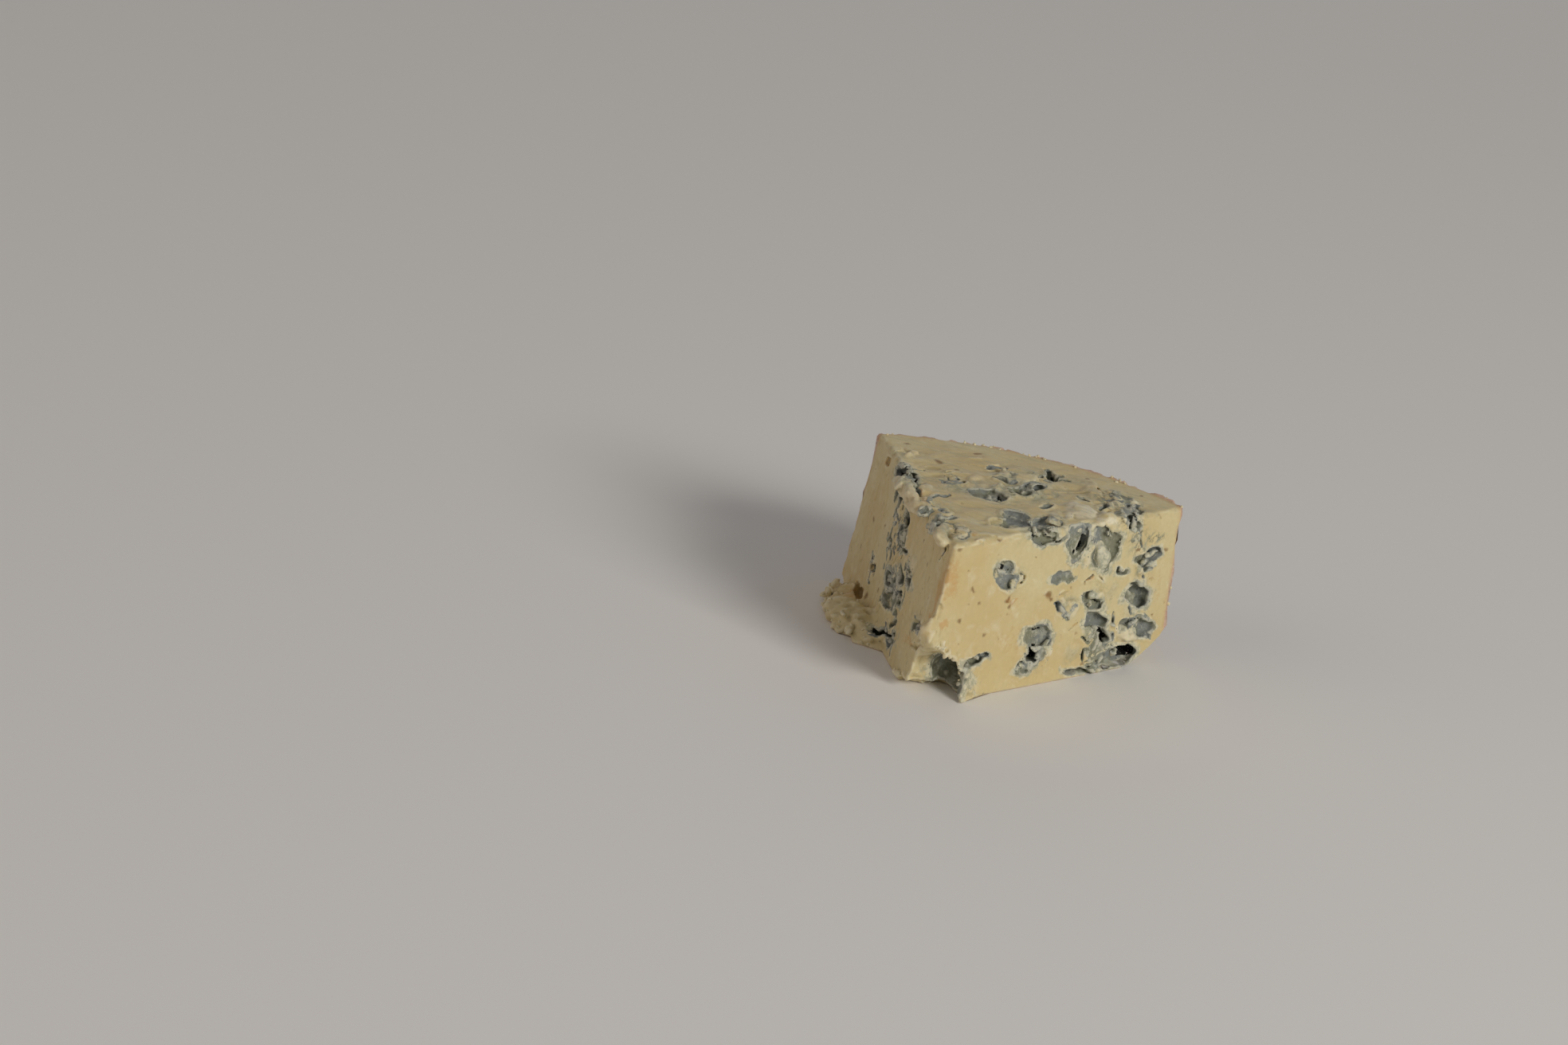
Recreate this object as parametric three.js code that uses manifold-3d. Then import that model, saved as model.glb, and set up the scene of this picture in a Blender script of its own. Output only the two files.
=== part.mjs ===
// A hand-cut wedge of blue-veined cheese, in millimetres, +Z up.
// The tip of the wedge points along -Y and the rind faces +Y. The base is the flat side of the wheel,
// so it turns up into the rind over a rounded shoulder. The wedge is one solid: a cut sector, a torn
// ledge at the foot of the left face, a broken tip, and the mould hollows that the knife opened.
import * as THREE from 'three';
import { mergeVertices } from 'three/addons/utils/BufferGeometryUtils.js';
import Module from 'manifold-3d';

// Driving dimensions
const WHEEL_RADIUS = 67.5;
const WHEEL_CENTRE_Y = 2; // the knife missed the wheel's centre by this much
const HALF_ANGLE = THREE.MathUtils.degToRad(31);
const HEIGHT = 36;
const LEFT_FLARE = 4; // how far each cut face leans out at the base
const RIGHT_FLARE = 1.5;
const TIP_WIDTH = 0.4;
const SHOULDER_REACH = 14; // the rounded edge between the base and the rind
const SHOULDER_RISE = 9; // at the right cut face
const LEFT_SHOULDER_RISE = 2.5;
const SHOULDER_POWER = 1.5;
const FACE_WAVE = 0.15; // unevenness of the cut faces
const RIND_WAVE = 0.5;
const HOLLOW_SINK = 0.3; // a hollow's centre lies this share of its depth under the face
const HOLLOW_POWER = 3; // above 2 a hollow has a flat floor and steep walls
const LOBE_POWER = 2.5;
const LUMP_ROUGHNESS = 0.18; // how far hollows and lumps stray from a plain form
const GRID = { across: 12, along: 10, up: 5 };
const DETAIL_PER_MM = 0.34; // how finely a lump of a given size is faceted

// Every row below starts with a place on a face: along it from the tip and up it, or x and y on the
// top and the base. Half length, half width and turn in degrees follow.
// Hollows: then depth
const RIGHT_HOLLOWS = [
  [16.6, 27.2, 3.9, 2.2, -30, 1.6],
  [21, 25, 1.9, 1.1, 0, 1.1],
  [31.5, 24.2, 2.1, 0.9, -12, 0.9],
  [35.8, 16.4, 2.3, 0.9, -11, 0.9],
  [44.1, 17.4, 3.9, 1.7, -12, 1.2],
  [46.2, 12.5, 3.4, 2, -18, 1.7],
  [48.2, 8.7, 2.4, 1.3, -16, 5],
  [47, 2.2, 2.4, 1.1, -14, 1.3],
  [56.2, 10.4, 2.1, 0.9, 16, 1.1],
  [61.5, 9.1, 2.8, 1.9, -43, 1.5],
  [28.5, 10.8, 4.3, 2.2, -19, 1.7],
  [28.1, 6.8, 2.1, 1.2, -15, 5],
  [25.6, 4.3, 2.3, 1.4, -20, 1.8],
  [54.4, 1.8, 5.6, 2.3, -8, 3],
  [58.4, 2.2, 2.2, 1.3, -20, 5],
  [42.5, 1.2, 4.2, 1, -9, 2],
  [60.3, 25.9, 2.8, 1.7, 1, 1.1],
  [58.7, 16.6, 3.5, 2.4, -25, 2.2],
  [36.4, 32.6, 3.8, 2.7, -84, 1.3],
  [45.5, 32.2, 5, 2.3, -10, 1.3],
  [48.9, 28.6, 2.8, 1.6, -84, 1.2],
  [45.6, 25.6, 3, 1.2, -14, 1],
  [38.2, 31.1, 1.7, 1.1, 51, 4.5],
  [26.4, 35.3, 3.8, 2, -14, 1.6],
  [10.8, 8, 3.4, 1.2, 4, 1.8],
];
const LEFT_HOLLOWS = [
  [47, 34.6, 3.2, 1.4, -14, 2],
  [34.6, 28.4, 2.3, 1.5, 23, 4],
  [34.2, 25.4, 3.4, 1.7, -12, 1.2],
  [30, 22.3, 2.3, 0.9, -17, 2],
  [34.5, 14.3, 3.5, 1.7, -13, 1.6],
  [27.7, 16.9, 1.9, 1.2, 5, 2],
  [22.6, 19.7, 2.8, 1.7, 17, 4],
  [28.4, 12.2, 5.6, 1.7, -20, 1.5],
  [9.3, 14.2, 3, 1.1, -21, 2],
  [31.7, 3.1, 4.6, 1.1, -15, 2.4],
  [22.7, 3.1, 3, 1, -20, 2.4],
  [51.8, 2.6, 3.4, 1.5, -3, 2.2],
];
const TOP_HOLLOWS = [
  [-3.2, 36.2, 3.7, 3, 30, 1.7],
  [2.8, 45.2, 5, 2.1, 71, 1.3],
  [4.9, 58.6, 3.7, 1, -69, 1.6],
  [9.2, 37.4, 1.9, 1.1, 73, 0.9],
  [5.9, 25.4, 5, 2.9, -77, 1.4],
  [8.6, 23.4, 2.6, 0.9, -86, 2.4],
  [12.7, 26.9, 4.5, 2.8, 83, 1.8],
  [-21.6, 35.6, 4.4, 1.7, -77, 2.4],
  [-7.7, 10.4, 4.2, 1.3, -75, 1.9],
  [-0.7, 7.8, 3.4, 1.4, -77, 1.1],
  [21.3, 56.1, 2.2, 1, -84, 1],
  [26.3, 49.4, 4.5, 1.6, -78, 1.1],
];
const BASE_HOLLOWS = [
  [15, 39, 3.2, 2.2, 20, 1.6],
  [1, 53, 2.4, 2, 70, 1.3],
  [-14, 38, 3.6, 1.8, 110, 1.8],
  [3, 24, 2.6, 1.6, 40, 1.4],
];
// Lumps of paste left standing in hollows and scales lying on the top: then half thickness, and how
// far out their middle lies
const RIGHT_LOBES = [
  [45.1, 18.6, 2, 0.8, 9, 0.9, -0.2],
  [57.4, 6.4, 3.9, 2.2, -19, 1.5, -0.9],
  [28.9, 10.7, 3.2, 1.4, -18, 1.2, -1.5],
  [32.6, 7.7, 1.9, 1.2, -42, 0.9, -0.4],
  [41.2, 29.4, 2.8, 1.3, -84, 1.6, -0.9],
  [45.9, 28.1, 2.9, 2, -53, 2, -0.9],
];
const TOP_LOBES = [
  [16.7, 39.4, 4.9, 3, -66, 1.5, -0.5],
  [24.1, 37.8, 5.4, 2.6, -79, 1.5, -0.7],
  [-17.6, 25.6, 8.4, 1.8, -66, 1.8, -0.7],
  [-21.6, 35.4, 2.6, 1, -77, 1.5, -0.8],
  [-13, 20.3, 4, 1.4, -75, 1.2, -0.5],
  [-4.5, 6.4, 5, 1.6, -77, 1.4, -0.6],
];
// The torn ledge along the foot of the left face: centre x, y, z and radii x, y, z
const LEDGE = [
  [-33.6, 47, 0, 2.6, 4.6, 1.8],
  [-33, 44.4, 0.2, 3.6, 4, 2.3],
  [-31.6, 41.6, 0.2, 4.6, 4.6, 2.9],
  [-31.2, 38.4, 0.2, 5.2, 4.2, 3.1],
  [-30, 35, 0.3, 5.4, 4.8, 3.5],
  [-28.2, 32, 0.2, 5, 4.2, 3.7],
  [-26, 29.6, 0.3, 4.6, 4.2, 4],
  [-20.6, 25.4, 0.5, 3.6, 4.4, 3.6],
];
const TORN_LIP = [-1.4, -2.6, 16.4, 2, 2.6, 2.8]; // it hangs over the tip's broken foot
// What broke away under the tip, given like the ledge: the last one is a smooth round cavity
const BREAKS = [
  [0.8, -6, 2, 8.5, 14.5, 11.8],
  [-2, 2, 0, 9, 10, 3],
  [2, 7.2, 4.8, 4.2, 5.4, 4.4],
];
const TONGUE = [6, 7.8, 1.4, 1.2, 2.6, 3.2]; // a torn flake that hangs beside the cavity
const RIND_DENTS = 6;

const wasm = await Module();
wasm.setup();

// Repeatable random numbers between 0 and 1
function makeRandom(seed) {
  let state = seed;
  return () => {
    state = (state * 1664525 + 1013904223) % 4294967296;
    return state / 4294967296;
  };
}

// A smooth bumpy function of a point, between about -1 and 1
function bumps(x, y, z, seed) {
  const first = Math.sin(1.7 * x + 2.1 * y + seed) * Math.cos(1.9 * z - 1.3 * x + 2 * seed);
  const second = Math.sin(3.7 * y - 2.9 * z + 3 * seed) * Math.cos(3.1 * x + 2.3 * z - seed);
  return 0.65 * first + 0.35 * second;
}

function toSolid(geometry) {
  const bare = geometry.clone();
  bare.deleteAttribute('normal');
  bare.deleteAttribute('uv');
  const merged = mergeVertices(bare, 1e-4);
  const mesh = new wasm.Mesh({
    numProp: 3,
    vertProperties: new Float32Array(merged.attributes.position.array),
    triVerts: new Uint32Array(merged.index.array),
  });
  return new wasm.Manifold(mesh);
}

function toGeometry(solid) {
  const mesh = solid.getMesh();
  const geometry = new THREE.BufferGeometry();
  geometry.setAttribute('position', new THREE.BufferAttribute(mesh.vertProperties, 3));
  geometry.setIndex(new THREE.BufferAttribute(mesh.triVerts, 1));
  geometry.computeVertexNormals();
  return geometry;
}

// Where the leaning cut faces meet, at a share of the height
function tipAt(up) {
  const left = LEFT_FLARE * (1 - up);
  const right = RIGHT_FLARE * (1 - up);
  const x = (right - left) / (2 * Math.cos(HALF_ANGLE));
  const y = -(left + right) / (2 * Math.sin(HALF_ANGLE));
  return new THREE.Vector2(x, y);
}

// The wheel's polar angle where the cut face on one side (-1 left, 1 right) reaches the rind
function rindAngle(side, up) {
  const start = tipAt(up).sub(new THREE.Vector2(0, WHEEL_CENTRE_Y));
  const along = new THREE.Vector2(side * Math.sin(HALF_ANGLE), Math.cos(HALF_ANGLE));
  const middle = start.dot(along);
  const reach = -middle + Math.sqrt(middle * middle - start.lengthSq() + WHEEL_RADIUS ** 2);
  const end = start.addScaledVector(along, reach);
  return Math.atan2(end.x, end.y);
}

// How high the wheel's rounded shoulder lifts the underside at a point: less towards the left face
function shoulderLift({ x, y }) {
  const radius = Math.hypot(x, y - WHEEL_CENTRE_Y);
  const share = Math.max(0, (radius - WHEEL_RADIUS + SHOULDER_REACH) / SHOULDER_REACH);
  const inside = Math.max(0, 1 - Math.min(1, share) ** SHOULDER_POWER);
  const across = 0.5 + x / (2 * WHEEL_RADIUS * Math.sin(HALF_ANGLE));
  const rise = THREE.MathUtils.lerp(LEFT_SHOULDER_RISE, SHOULDER_RISE, Math.min(1, Math.max(0, across)));
  return rise * (1 - inside ** (1 / SHOULDER_POWER));
}

// The plain cut sector: a box whose grid is bent into the wedge
function sectorGeometry() {
  const box = new THREE.BoxGeometry(1, 1, 1, GRID.across, GRID.along, GRID.up);
  const place = box.attributes.position;
  for (let i = 0; i < place.count; i += 1) {
    const across = place.getX(i) + 0.5;
    const along = place.getY(i) + 0.5;
    const up = place.getZ(i) + 0.5;
    const tip = tipAt(up);
    tip.x += (across - 0.5) * TIP_WIDTH;
    const angle = THREE.MathUtils.lerp(rindAngle(-1, up), rindAngle(1, up), across);
    const rindWave = RIND_WAVE * bumps(0.12 * angle * WHEEL_RADIUS, up, 0.1 * up * HEIGHT, 4);
    const radius = WHEEL_RADIUS + rindWave;
    const rind = new THREE.Vector2(radius * Math.sin(angle), WHEEL_CENTRE_Y + radius * Math.cos(angle));
    const spot = tip.lerp(rind, along);
    const side = 2 * across - 1;
    const faceWave = FACE_WAVE * bumps(0.11 * spot.y, 0.13 * HEIGHT * up, side, 7);
    spot.x += side * faceWave * along;
    const lift = shoulderLift(spot);
    const topWave = up * FACE_WAVE * bumps(0.12 * spot.x, 0.1 * spot.y, 0, 2);
    place.setXYZ(i, spot.x, spot.y, lift + (HEIGHT - lift) * up + topWave);
  }
  return box;
}

// An uneven lump with the given radii, for hollows and torn paste; a high power squares it off
function lump(radii, seed, power = 2) {
  const size = Math.max(...radii);
  const detail = THREE.MathUtils.clamp(Math.round(size * DETAIL_PER_MM), 1, 3);
  const ball = new THREE.IcosahedronGeometry(1, detail);
  const place = ball.attributes.position;
  for (let i = 0; i < place.count; i += 1) {
    const spot = new THREE.Vector3().fromBufferAttribute(place, i);
    const total = Math.abs(spot.x) ** power + Math.abs(spot.y) ** power + Math.abs(spot.z) ** power;
    const swell = 1 + LUMP_ROUGHNESS * bumps(1.5 * spot.x, 1.5 * spot.y, 1.5 * spot.z, seed);
    spot.multiplyScalar(swell / total ** (1 / power));
    place.setXYZ(i, spot.x * radii[0], spot.y * radii[1], spot.z * radii[2]);
  }
  return ball;
}

// A frame at a spot: X turned in the face from the run towards the rise, Z out of the face
function turnedFrame(spot, run, rise, out, turn) {
  const angle = THREE.MathUtils.degToRad(turn);
  const along = run.clone().multiplyScalar(Math.cos(angle)).addScaledVector(rise, Math.sin(angle));
  const across = out.clone().cross(along);
  return new THREE.Matrix4().makeBasis(along, across, out).setPosition(spot);
}

// A frame on a cut face, given by how far along it and how high the spot is
function sideFrame(side, along, height, turn) {
  const flare = side < 0 ? LEFT_FLARE : RIGHT_FLARE;
  const run = new THREE.Vector3(side * Math.sin(HALF_ANGLE), Math.cos(HALF_ANGLE), 0);
  const out = new THREE.Vector3(side * Math.cos(HALF_ANGLE), -Math.sin(HALF_ANGLE), 0);
  const spot = run.clone().multiplyScalar(along);
  spot.addScaledVector(out, flare * (1 - height / HEIGHT));
  spot.z = height;
  return turnedFrame(spot, run, new THREE.Vector3(0, 0, 1), out, turn);
}

// A frame on the top or the base
function levelFrame(height, x, y, turn) {
  const out = new THREE.Vector3(0, 0, height > 0 ? 1 : -1);
  const run = new THREE.Vector3(1, 0, 0);
  return turnedFrame(new THREE.Vector3(x, y, height), run, new THREE.Vector3(0, 1, 0), out, turn);
}

const rightFrame = (...spot) => sideFrame(1, ...spot);
const leftFrame = (...spot) => sideFrame(-1, ...spot);
const topFrame = (...spot) => levelFrame(HEIGHT, ...spot);
const baseFrame = (...spot) => levelFrame(0, ...spot);

// A lump set into a frame, its middle moved out of the face by a distance
function setLump(frame, radii, out, seed, power) {
  return toSolid(lump(radii, seed, power).translate(0, 0, out).applyMatrix4(frame));
}

function freeLump([x, y, z, ...radii], seed) {
  return toSolid(lump(radii, seed).translate(x, y, z));
}

function cutHollows(solid) {
  const faces = [
    [rightFrame, RIGHT_HOLLOWS],
    [leftFrame, LEFT_HOLLOWS],
    [topFrame, TOP_HOLLOWS],
    [baseFrame, BASE_HOLLOWS],
  ];
  let rest = solid;
  faces.forEach(([frame, rows]) => {
    rows.forEach(([along, across, long, wide, turn, deep], i) => {
      const spot = frame(along, across, turn);
      rest = rest.subtract(setLump(spot, [long, wide, deep], -HOLLOW_SINK * deep, 1.3 * i, HOLLOW_POWER));
    });
  });
  return rest;
}

function addLobes(solid) {
  let whole = solid;
  [[rightFrame, RIGHT_LOBES], [topFrame, TOP_LOBES]].forEach(([frame, rows]) => {
    rows.forEach(([along, across, long, wide, turn, thick, out], i) => {
      const spot = frame(along, across, turn);
      whole = whole.add(setLump(spot, [long, wide, thick], out, 1.7 * i, LOBE_POWER));
    });
  });
  return whole;
}

// Dents in the rind, one in each equal share of the arc
function cutRindDents(solid) {
  const random = makeRandom(29);
  let rest = solid;
  for (let i = 0; i < RIND_DENTS; i += 1) {
    const angle = 1.8 * HALF_ANGLE * ((i + random()) / RIND_DENTS - 0.5);
    const height = THREE.MathUtils.lerp(SHOULDER_RISE + 3, HEIGHT - 4, random());
    const out = new THREE.Vector3(Math.sin(angle), Math.cos(angle), 0);
    const run = new THREE.Vector3(-out.y, out.x, 0);
    const spot = out.clone().multiplyScalar(WHEEL_RADIUS);
    spot.add(new THREE.Vector3(0, WHEEL_CENTRE_Y, height));
    const frame = new THREE.Matrix4().makeBasis(run, new THREE.Vector3(0, 0, 1), out);
    const radii = [1.5 + 2 * random(), 0.8 + random(), 1 + 0.6 * random()];
    rest = rest.subtract(setLump(frame.setPosition(spot), radii, -HOLLOW_SINK * radii[2], i, 2));
  }
  return rest;
}

// Drops the loose scraps that the cuts leave
function mainBody(solid) {
  const bodies = solid.decompose();
  bodies.sort((a, b) => b.volume() - a.volume());
  return bodies[0];
}

function wedgeSolid() {
  let solid = toSolid(sectorGeometry());
  LEDGE.forEach((row, i) => {
    solid = solid.add(freeLump(row, 1.1 * i));
  });
  solid = solid.add(freeLump(TORN_LIP, 2));
  BREAKS.forEach((row, i) => {
    solid = solid.subtract(freeLump(row, 1.9 * i));
  });
  solid = addLobes(cutRindDents(cutHollows(solid)));
  solid = solid.add(freeLump(TONGUE, 3));
  const size = 4 * WHEEL_RADIUS;
  const floor = new THREE.BoxGeometry(size, size, HEIGHT).translate(0, 0, -HEIGHT / 2);
  return mainBody(solid.subtract(toSolid(floor)));
}

function cheeseWedge() {
  const paste = new THREE.MeshStandardMaterial({ color: 0xd9c48f, roughness: 0.6, metalness: 0 });
  const geometry = toGeometry(wedgeSolid());
  geometry.computeBoundingBox();
  const middle = geometry.boundingBox.getCenter(new THREE.Vector3());
  const wedge = new THREE.Mesh(geometry, paste);
  wedge.name = 'cheese_wedge';
  wedge.position.set(-middle.x, -middle.y, 0);
  return wedge;
}

const cheese = new THREE.Group();
cheese.add(cheeseWedge());

export default cheese;
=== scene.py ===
"""A hand-cut wedge of blue-veined cheese: paste, mould hollows, cracks, torn foot, rind and crumbs."""
import math
from itertools import combinations, product

import bpy
import numpy as np
from mathutils import Matrix, Vector


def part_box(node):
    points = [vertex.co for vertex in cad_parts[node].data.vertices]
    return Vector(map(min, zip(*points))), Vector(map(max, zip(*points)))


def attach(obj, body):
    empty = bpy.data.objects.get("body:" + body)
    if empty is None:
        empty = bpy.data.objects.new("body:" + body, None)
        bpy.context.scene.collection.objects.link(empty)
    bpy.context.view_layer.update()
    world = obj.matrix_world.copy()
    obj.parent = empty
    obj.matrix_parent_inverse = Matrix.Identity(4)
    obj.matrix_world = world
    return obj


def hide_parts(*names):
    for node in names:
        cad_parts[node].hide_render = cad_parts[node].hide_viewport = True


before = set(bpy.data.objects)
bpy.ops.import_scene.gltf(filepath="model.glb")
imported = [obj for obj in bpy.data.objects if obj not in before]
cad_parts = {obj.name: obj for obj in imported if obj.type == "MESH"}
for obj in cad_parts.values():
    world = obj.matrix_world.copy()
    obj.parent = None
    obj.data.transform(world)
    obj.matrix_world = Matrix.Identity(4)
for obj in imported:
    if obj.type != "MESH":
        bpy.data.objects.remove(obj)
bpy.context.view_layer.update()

# ---------------------------------------------------------------- sizes, in mm where no note says else
MM = 0.001
TIP = np.array([1.0, -32.29, 0.0])  # where the wheel's cut faces meet, in the shared frame
WHEEL_RADIUS = 67.5
WHEEL_CENTRE_Y = 2.0
HALF_ANGLE = math.radians(31)
SINE, COSINE = math.sin(HALF_ANGLE), math.cos(HALF_ANGLE)
HEIGHT = 36.0
SIDES = {"right": (1, 1.5), "left": (-1, 4.0)}  # which way X runs, and how far it leans out at the base
SHOULDER_REACH = 14.0  # the rounded edge between the base and the rind
SHOULDER_RISE = 9.0
LEFT_SHOULDER_RISE = 2.5
SHOULDER_POWER = 1.5
SHOULDER_SLOPE = 0.6  # how much steeper than flat the shoulder gets, to even out its distances
HOLLOW_SINK = 0.3  # a hollow's centre lies this share of its depth under the face
PIT_SINK = 0.4
SLIT_SINK = 0.2
SHAFT_WIDTH = 1.2  # how much wider a pit's painted shade is than the pit
CROWD_SPREAD = 0.5  # how far things in a crowd scatter, as a share of its half size
SLIT_TURN_SPREAD = 18  # in degrees
TINY = 1e-6  # keeps the powers away from 0
TOP_GRAIN = (0.76, 0.65)  # the direction in which the broken top is drawn out
TOP_STRETCH = 2.2
TOP_EDGE = (HEIGHT - 1.6, HEIGHT - 0.6)  # a vertex counts as on the top between these heights
OUT_STRAY = 0.2  # how much of a form's unevenness goes in and out of its face
HOLLOW_POWER = 3.0  # above 2 a hollow has a flat floor and steep walls
LOBE_POWER = 2.5
PATCH_REACH = 6.0  # how far above and below its face a patch of colour counts
SPECK_REACH = 1.5
STRAY_REACH = 2.5  # how far past its size a form can come out through its unevenness
MASK_REACH = 1.5  # the same for its masks
LIP_OUT = 0.55  # where a raised lip runs round each opening, and how wide it is
LIP_WIDTH = 0.4
EDGE_BAND = 3  # edges are worn on the cells this near to the surface
EDGE_WEAR = 0.42
ROUGH_BAND = 1.4  # relief is given to the cells this near to the surface
CREASE_BAND = 0.8
FULL_CREASE = 0.2  # a place sunk this far under its blurred surroundings counts as fully creased, for the painted shade in creases
CELL = 0.34  # grid step of the cheese's surface
MARGIN = 1.4  # empty grid kept round the cheese
MOST_TRIANGLES = 192000
BASE_SKIN = 0.25  # vertices under this height belong to the base
SEEN_WEIGHT = 0.25  # how freely the cut faces and the top are thinned, where the rind has 1
CRUMB_FLOOR = 0.9  # no crumbs or grains lie lower, as they would reach under the base

# Camera, from the tip of the wedge
VIEW_AZIMUTH = math.radians(15.9)
VIEW_ELEVATION = math.radians(19.8)
VIEW_ROLL = math.radians(8.8)
VIEW_RIGHT, VIEW_UP, VIEW_AWAY = 30.6, -38.3, 925.9
LENS = 100.0
BUMP_HEIGHT = 0.00022  # in metres
# Lamps: azimuth and elevation in degrees, distance and size in metres, watts, and tint
LAMPS = {
    "key": (62, 26, 2.0, 0.67, 21.5, (1, 0.97, 0.93)),
    "fill": (-50, 25, 2.2, 1.6, 6.4, (1, 0.8, 0.7)),
    "back": (195, 12, 2.2, 1.6, 4.5, (1, 0.94, 0.88)),
}
LAMP_AIM = (0, 0, 0.02)  # in metres, the middle of the cheese
FLOOR_REACH = 4  # in metres

# The tables below give places on a face: along it from the tip and up it, or x and y on the top
# and the base. Half length, half width and turn in degrees follow, where a table doesn't say else.
# Hollows: then depth, and how much mould lines them
HOLLOWS = {
    "right": [
        (16.7, 26.7, 3.6, 1.9, -35, 0.8, 0.7), (16.2, 28.4, 2.2, 1.2, -17, 0.7, 0.7),
        (21, 25, 1.9, 1.1, 0, 1.1, 0.5), (33.1, 24.4, 3.6, 1.1, -9, 0.6, 0.75),
        (35.8, 16.4, 2.3, 0.9, -11, 0.9, 0.5), (44.1, 17.4, 3.9, 1.7, -12, 0.9, 0.9),
        (46.2, 12.5, 3.4, 2, -18, 1.7, 1), (48.4, 8.7, 2.4, 1.3, -16, 3.6, 1),
        (51.6, 8.6, 1, 0.7, -67, 2, 1), (47, 2.2, 2.4, 1.1, -14, 1.3, 0.7),
        (56.2, 10.4, 2.1, 0.9, 16, 1.1, 1), (61.5, 9.1, 2.8, 1.9, -43, 1.5, 1),
        (28.5, 10.8, 4.3, 2.3, -19, 1.1, 1), (28, 6.7, 2.4, 1.5, -15, 3.6, 1),
        (25.6, 4.3, 2.3, 1.4, -20, 1.8, 0.8), (54, 2.5, 5.6, 2.8, -8, 2.8, 1),
        (42.5, 1.2, 4.2, 1, -9, 2, 0.9), (52.1, 23.5, 2, 1.2, -10, 1, 0.9),
        (60.3, 25.9, 2.8, 1.7, 1, 1.1, 0.8), (59.6, 23.2, 1.4, 1, -34, 1, 0.9),
        (58.7, 16.6, 3.5, 2.4, -25, 2.2, 1), (36.8, 32.8, 4.4, 3.1, -72, 0.6, 1),
        (45.2, 32, 5.4, 2.4, -11, 0.6, 1), (46.2, 28.8, 3.8, 3.4, -27, 0.8, 1),
        (38.4, 30.9, 2.1, 1.1, 55, 3.5, 1), (54.4, 33.3, 2.8, 1.6, -55, 0.9, 0.6),
        (26.4, 35.3, 3.8, 2, -14, 1.6, 1), (10.8, 8, 3.4, 1.2, 4, 1.8, 0.9),
    ],
    "left": [
        (47, 34.6, 3.2, 1.4, -14, 2, 0.9), (34.6, 28.4, 2.3, 1.5, 23, 3, 1),
        (34.2, 25.4, 3.4, 1.7, -12, 1.2, 0.7), (30, 22.3, 2.3, 0.9, -17, 2, 1),
        (34.5, 14.3, 3.5, 1.7, -13, 1.6, 0.8), (27.7, 16.9, 1.9, 1.2, 5, 2, 1),
        (22.6, 19.7, 2.8, 1.7, 17, 3.4, 1), (28.4, 12.2, 5.6, 1.7, -20, 1.5, 0.8),
        (33.2, 9.7, 2.6, 1.3, 11, 1.1, 0.5), (24.8, 7.7, 2, 0.9, -16, 1.1, 0.6),
        (9.3, 14.2, 3, 1.1, -21, 1.6, 0.5), (31.7, 3.1, 4.6, 1.1, -15, 2.4, 1),
        (22.7, 3.1, 3, 1, -20, 2.4, 0.9), (51.8, 3.4, 3.6, 1.5, -3, 1.5, 0.2),
        (56.9, 33.1, 1.7, 1, 4, 0.8, 0.2), (47.7, 11.6, 2.2, 1.2, -8, 1.1, 0.4),
    ],
    "top": [
        (-3.2, 36.2, 3.9, 3.1, 30, 1, 1), (2.8, 45.2, 5, 2.2, 71, 0.9, 0.9),
        (4.9, 58.6, 3.7, 1, -69, 1.6, 0.7), (9.2, 37.4, 1.9, 1.1, 73, 0.9, 0.7),
        (5.9, 25.4, 5, 2.9, -77, 0.9, 0.9), (3.8, 20.4, 3.1, 2, -77, 0.6, 0.2),
        (12.7, 26.9, 4.5, 2.8, 83, 1, 1), (-21.6, 35.6, 4.4, 1.7, -77, 2.2, 0.7),
        (-7.7, 10.4, 4.2, 1.3, -75, 1.9, 0.9), (-6, 15.2, 2.5, 1.4, 66, 1.1, 0.7),
        (-0.7, 7.8, 3.4, 1.4, -77, 1.1, 0.6), (21.3, 56.1, 2.2, 1, -84, 1, 0.8),
        (26.3, 49.4, 4.5, 1.6, -78, 1.1, 0.8),
    ],
    "base": [
        (15, 39, 3.2, 2.2, 20, 1.6, 0.6), (1, 53, 2.4, 2, 70, 1.3, 0.5),
        (-14, 38, 3.6, 1.8, 110, 1.8, 0.6), (3, 24, 2.6, 1.6, 40, 1.4, 0.6),
    ],
}
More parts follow.
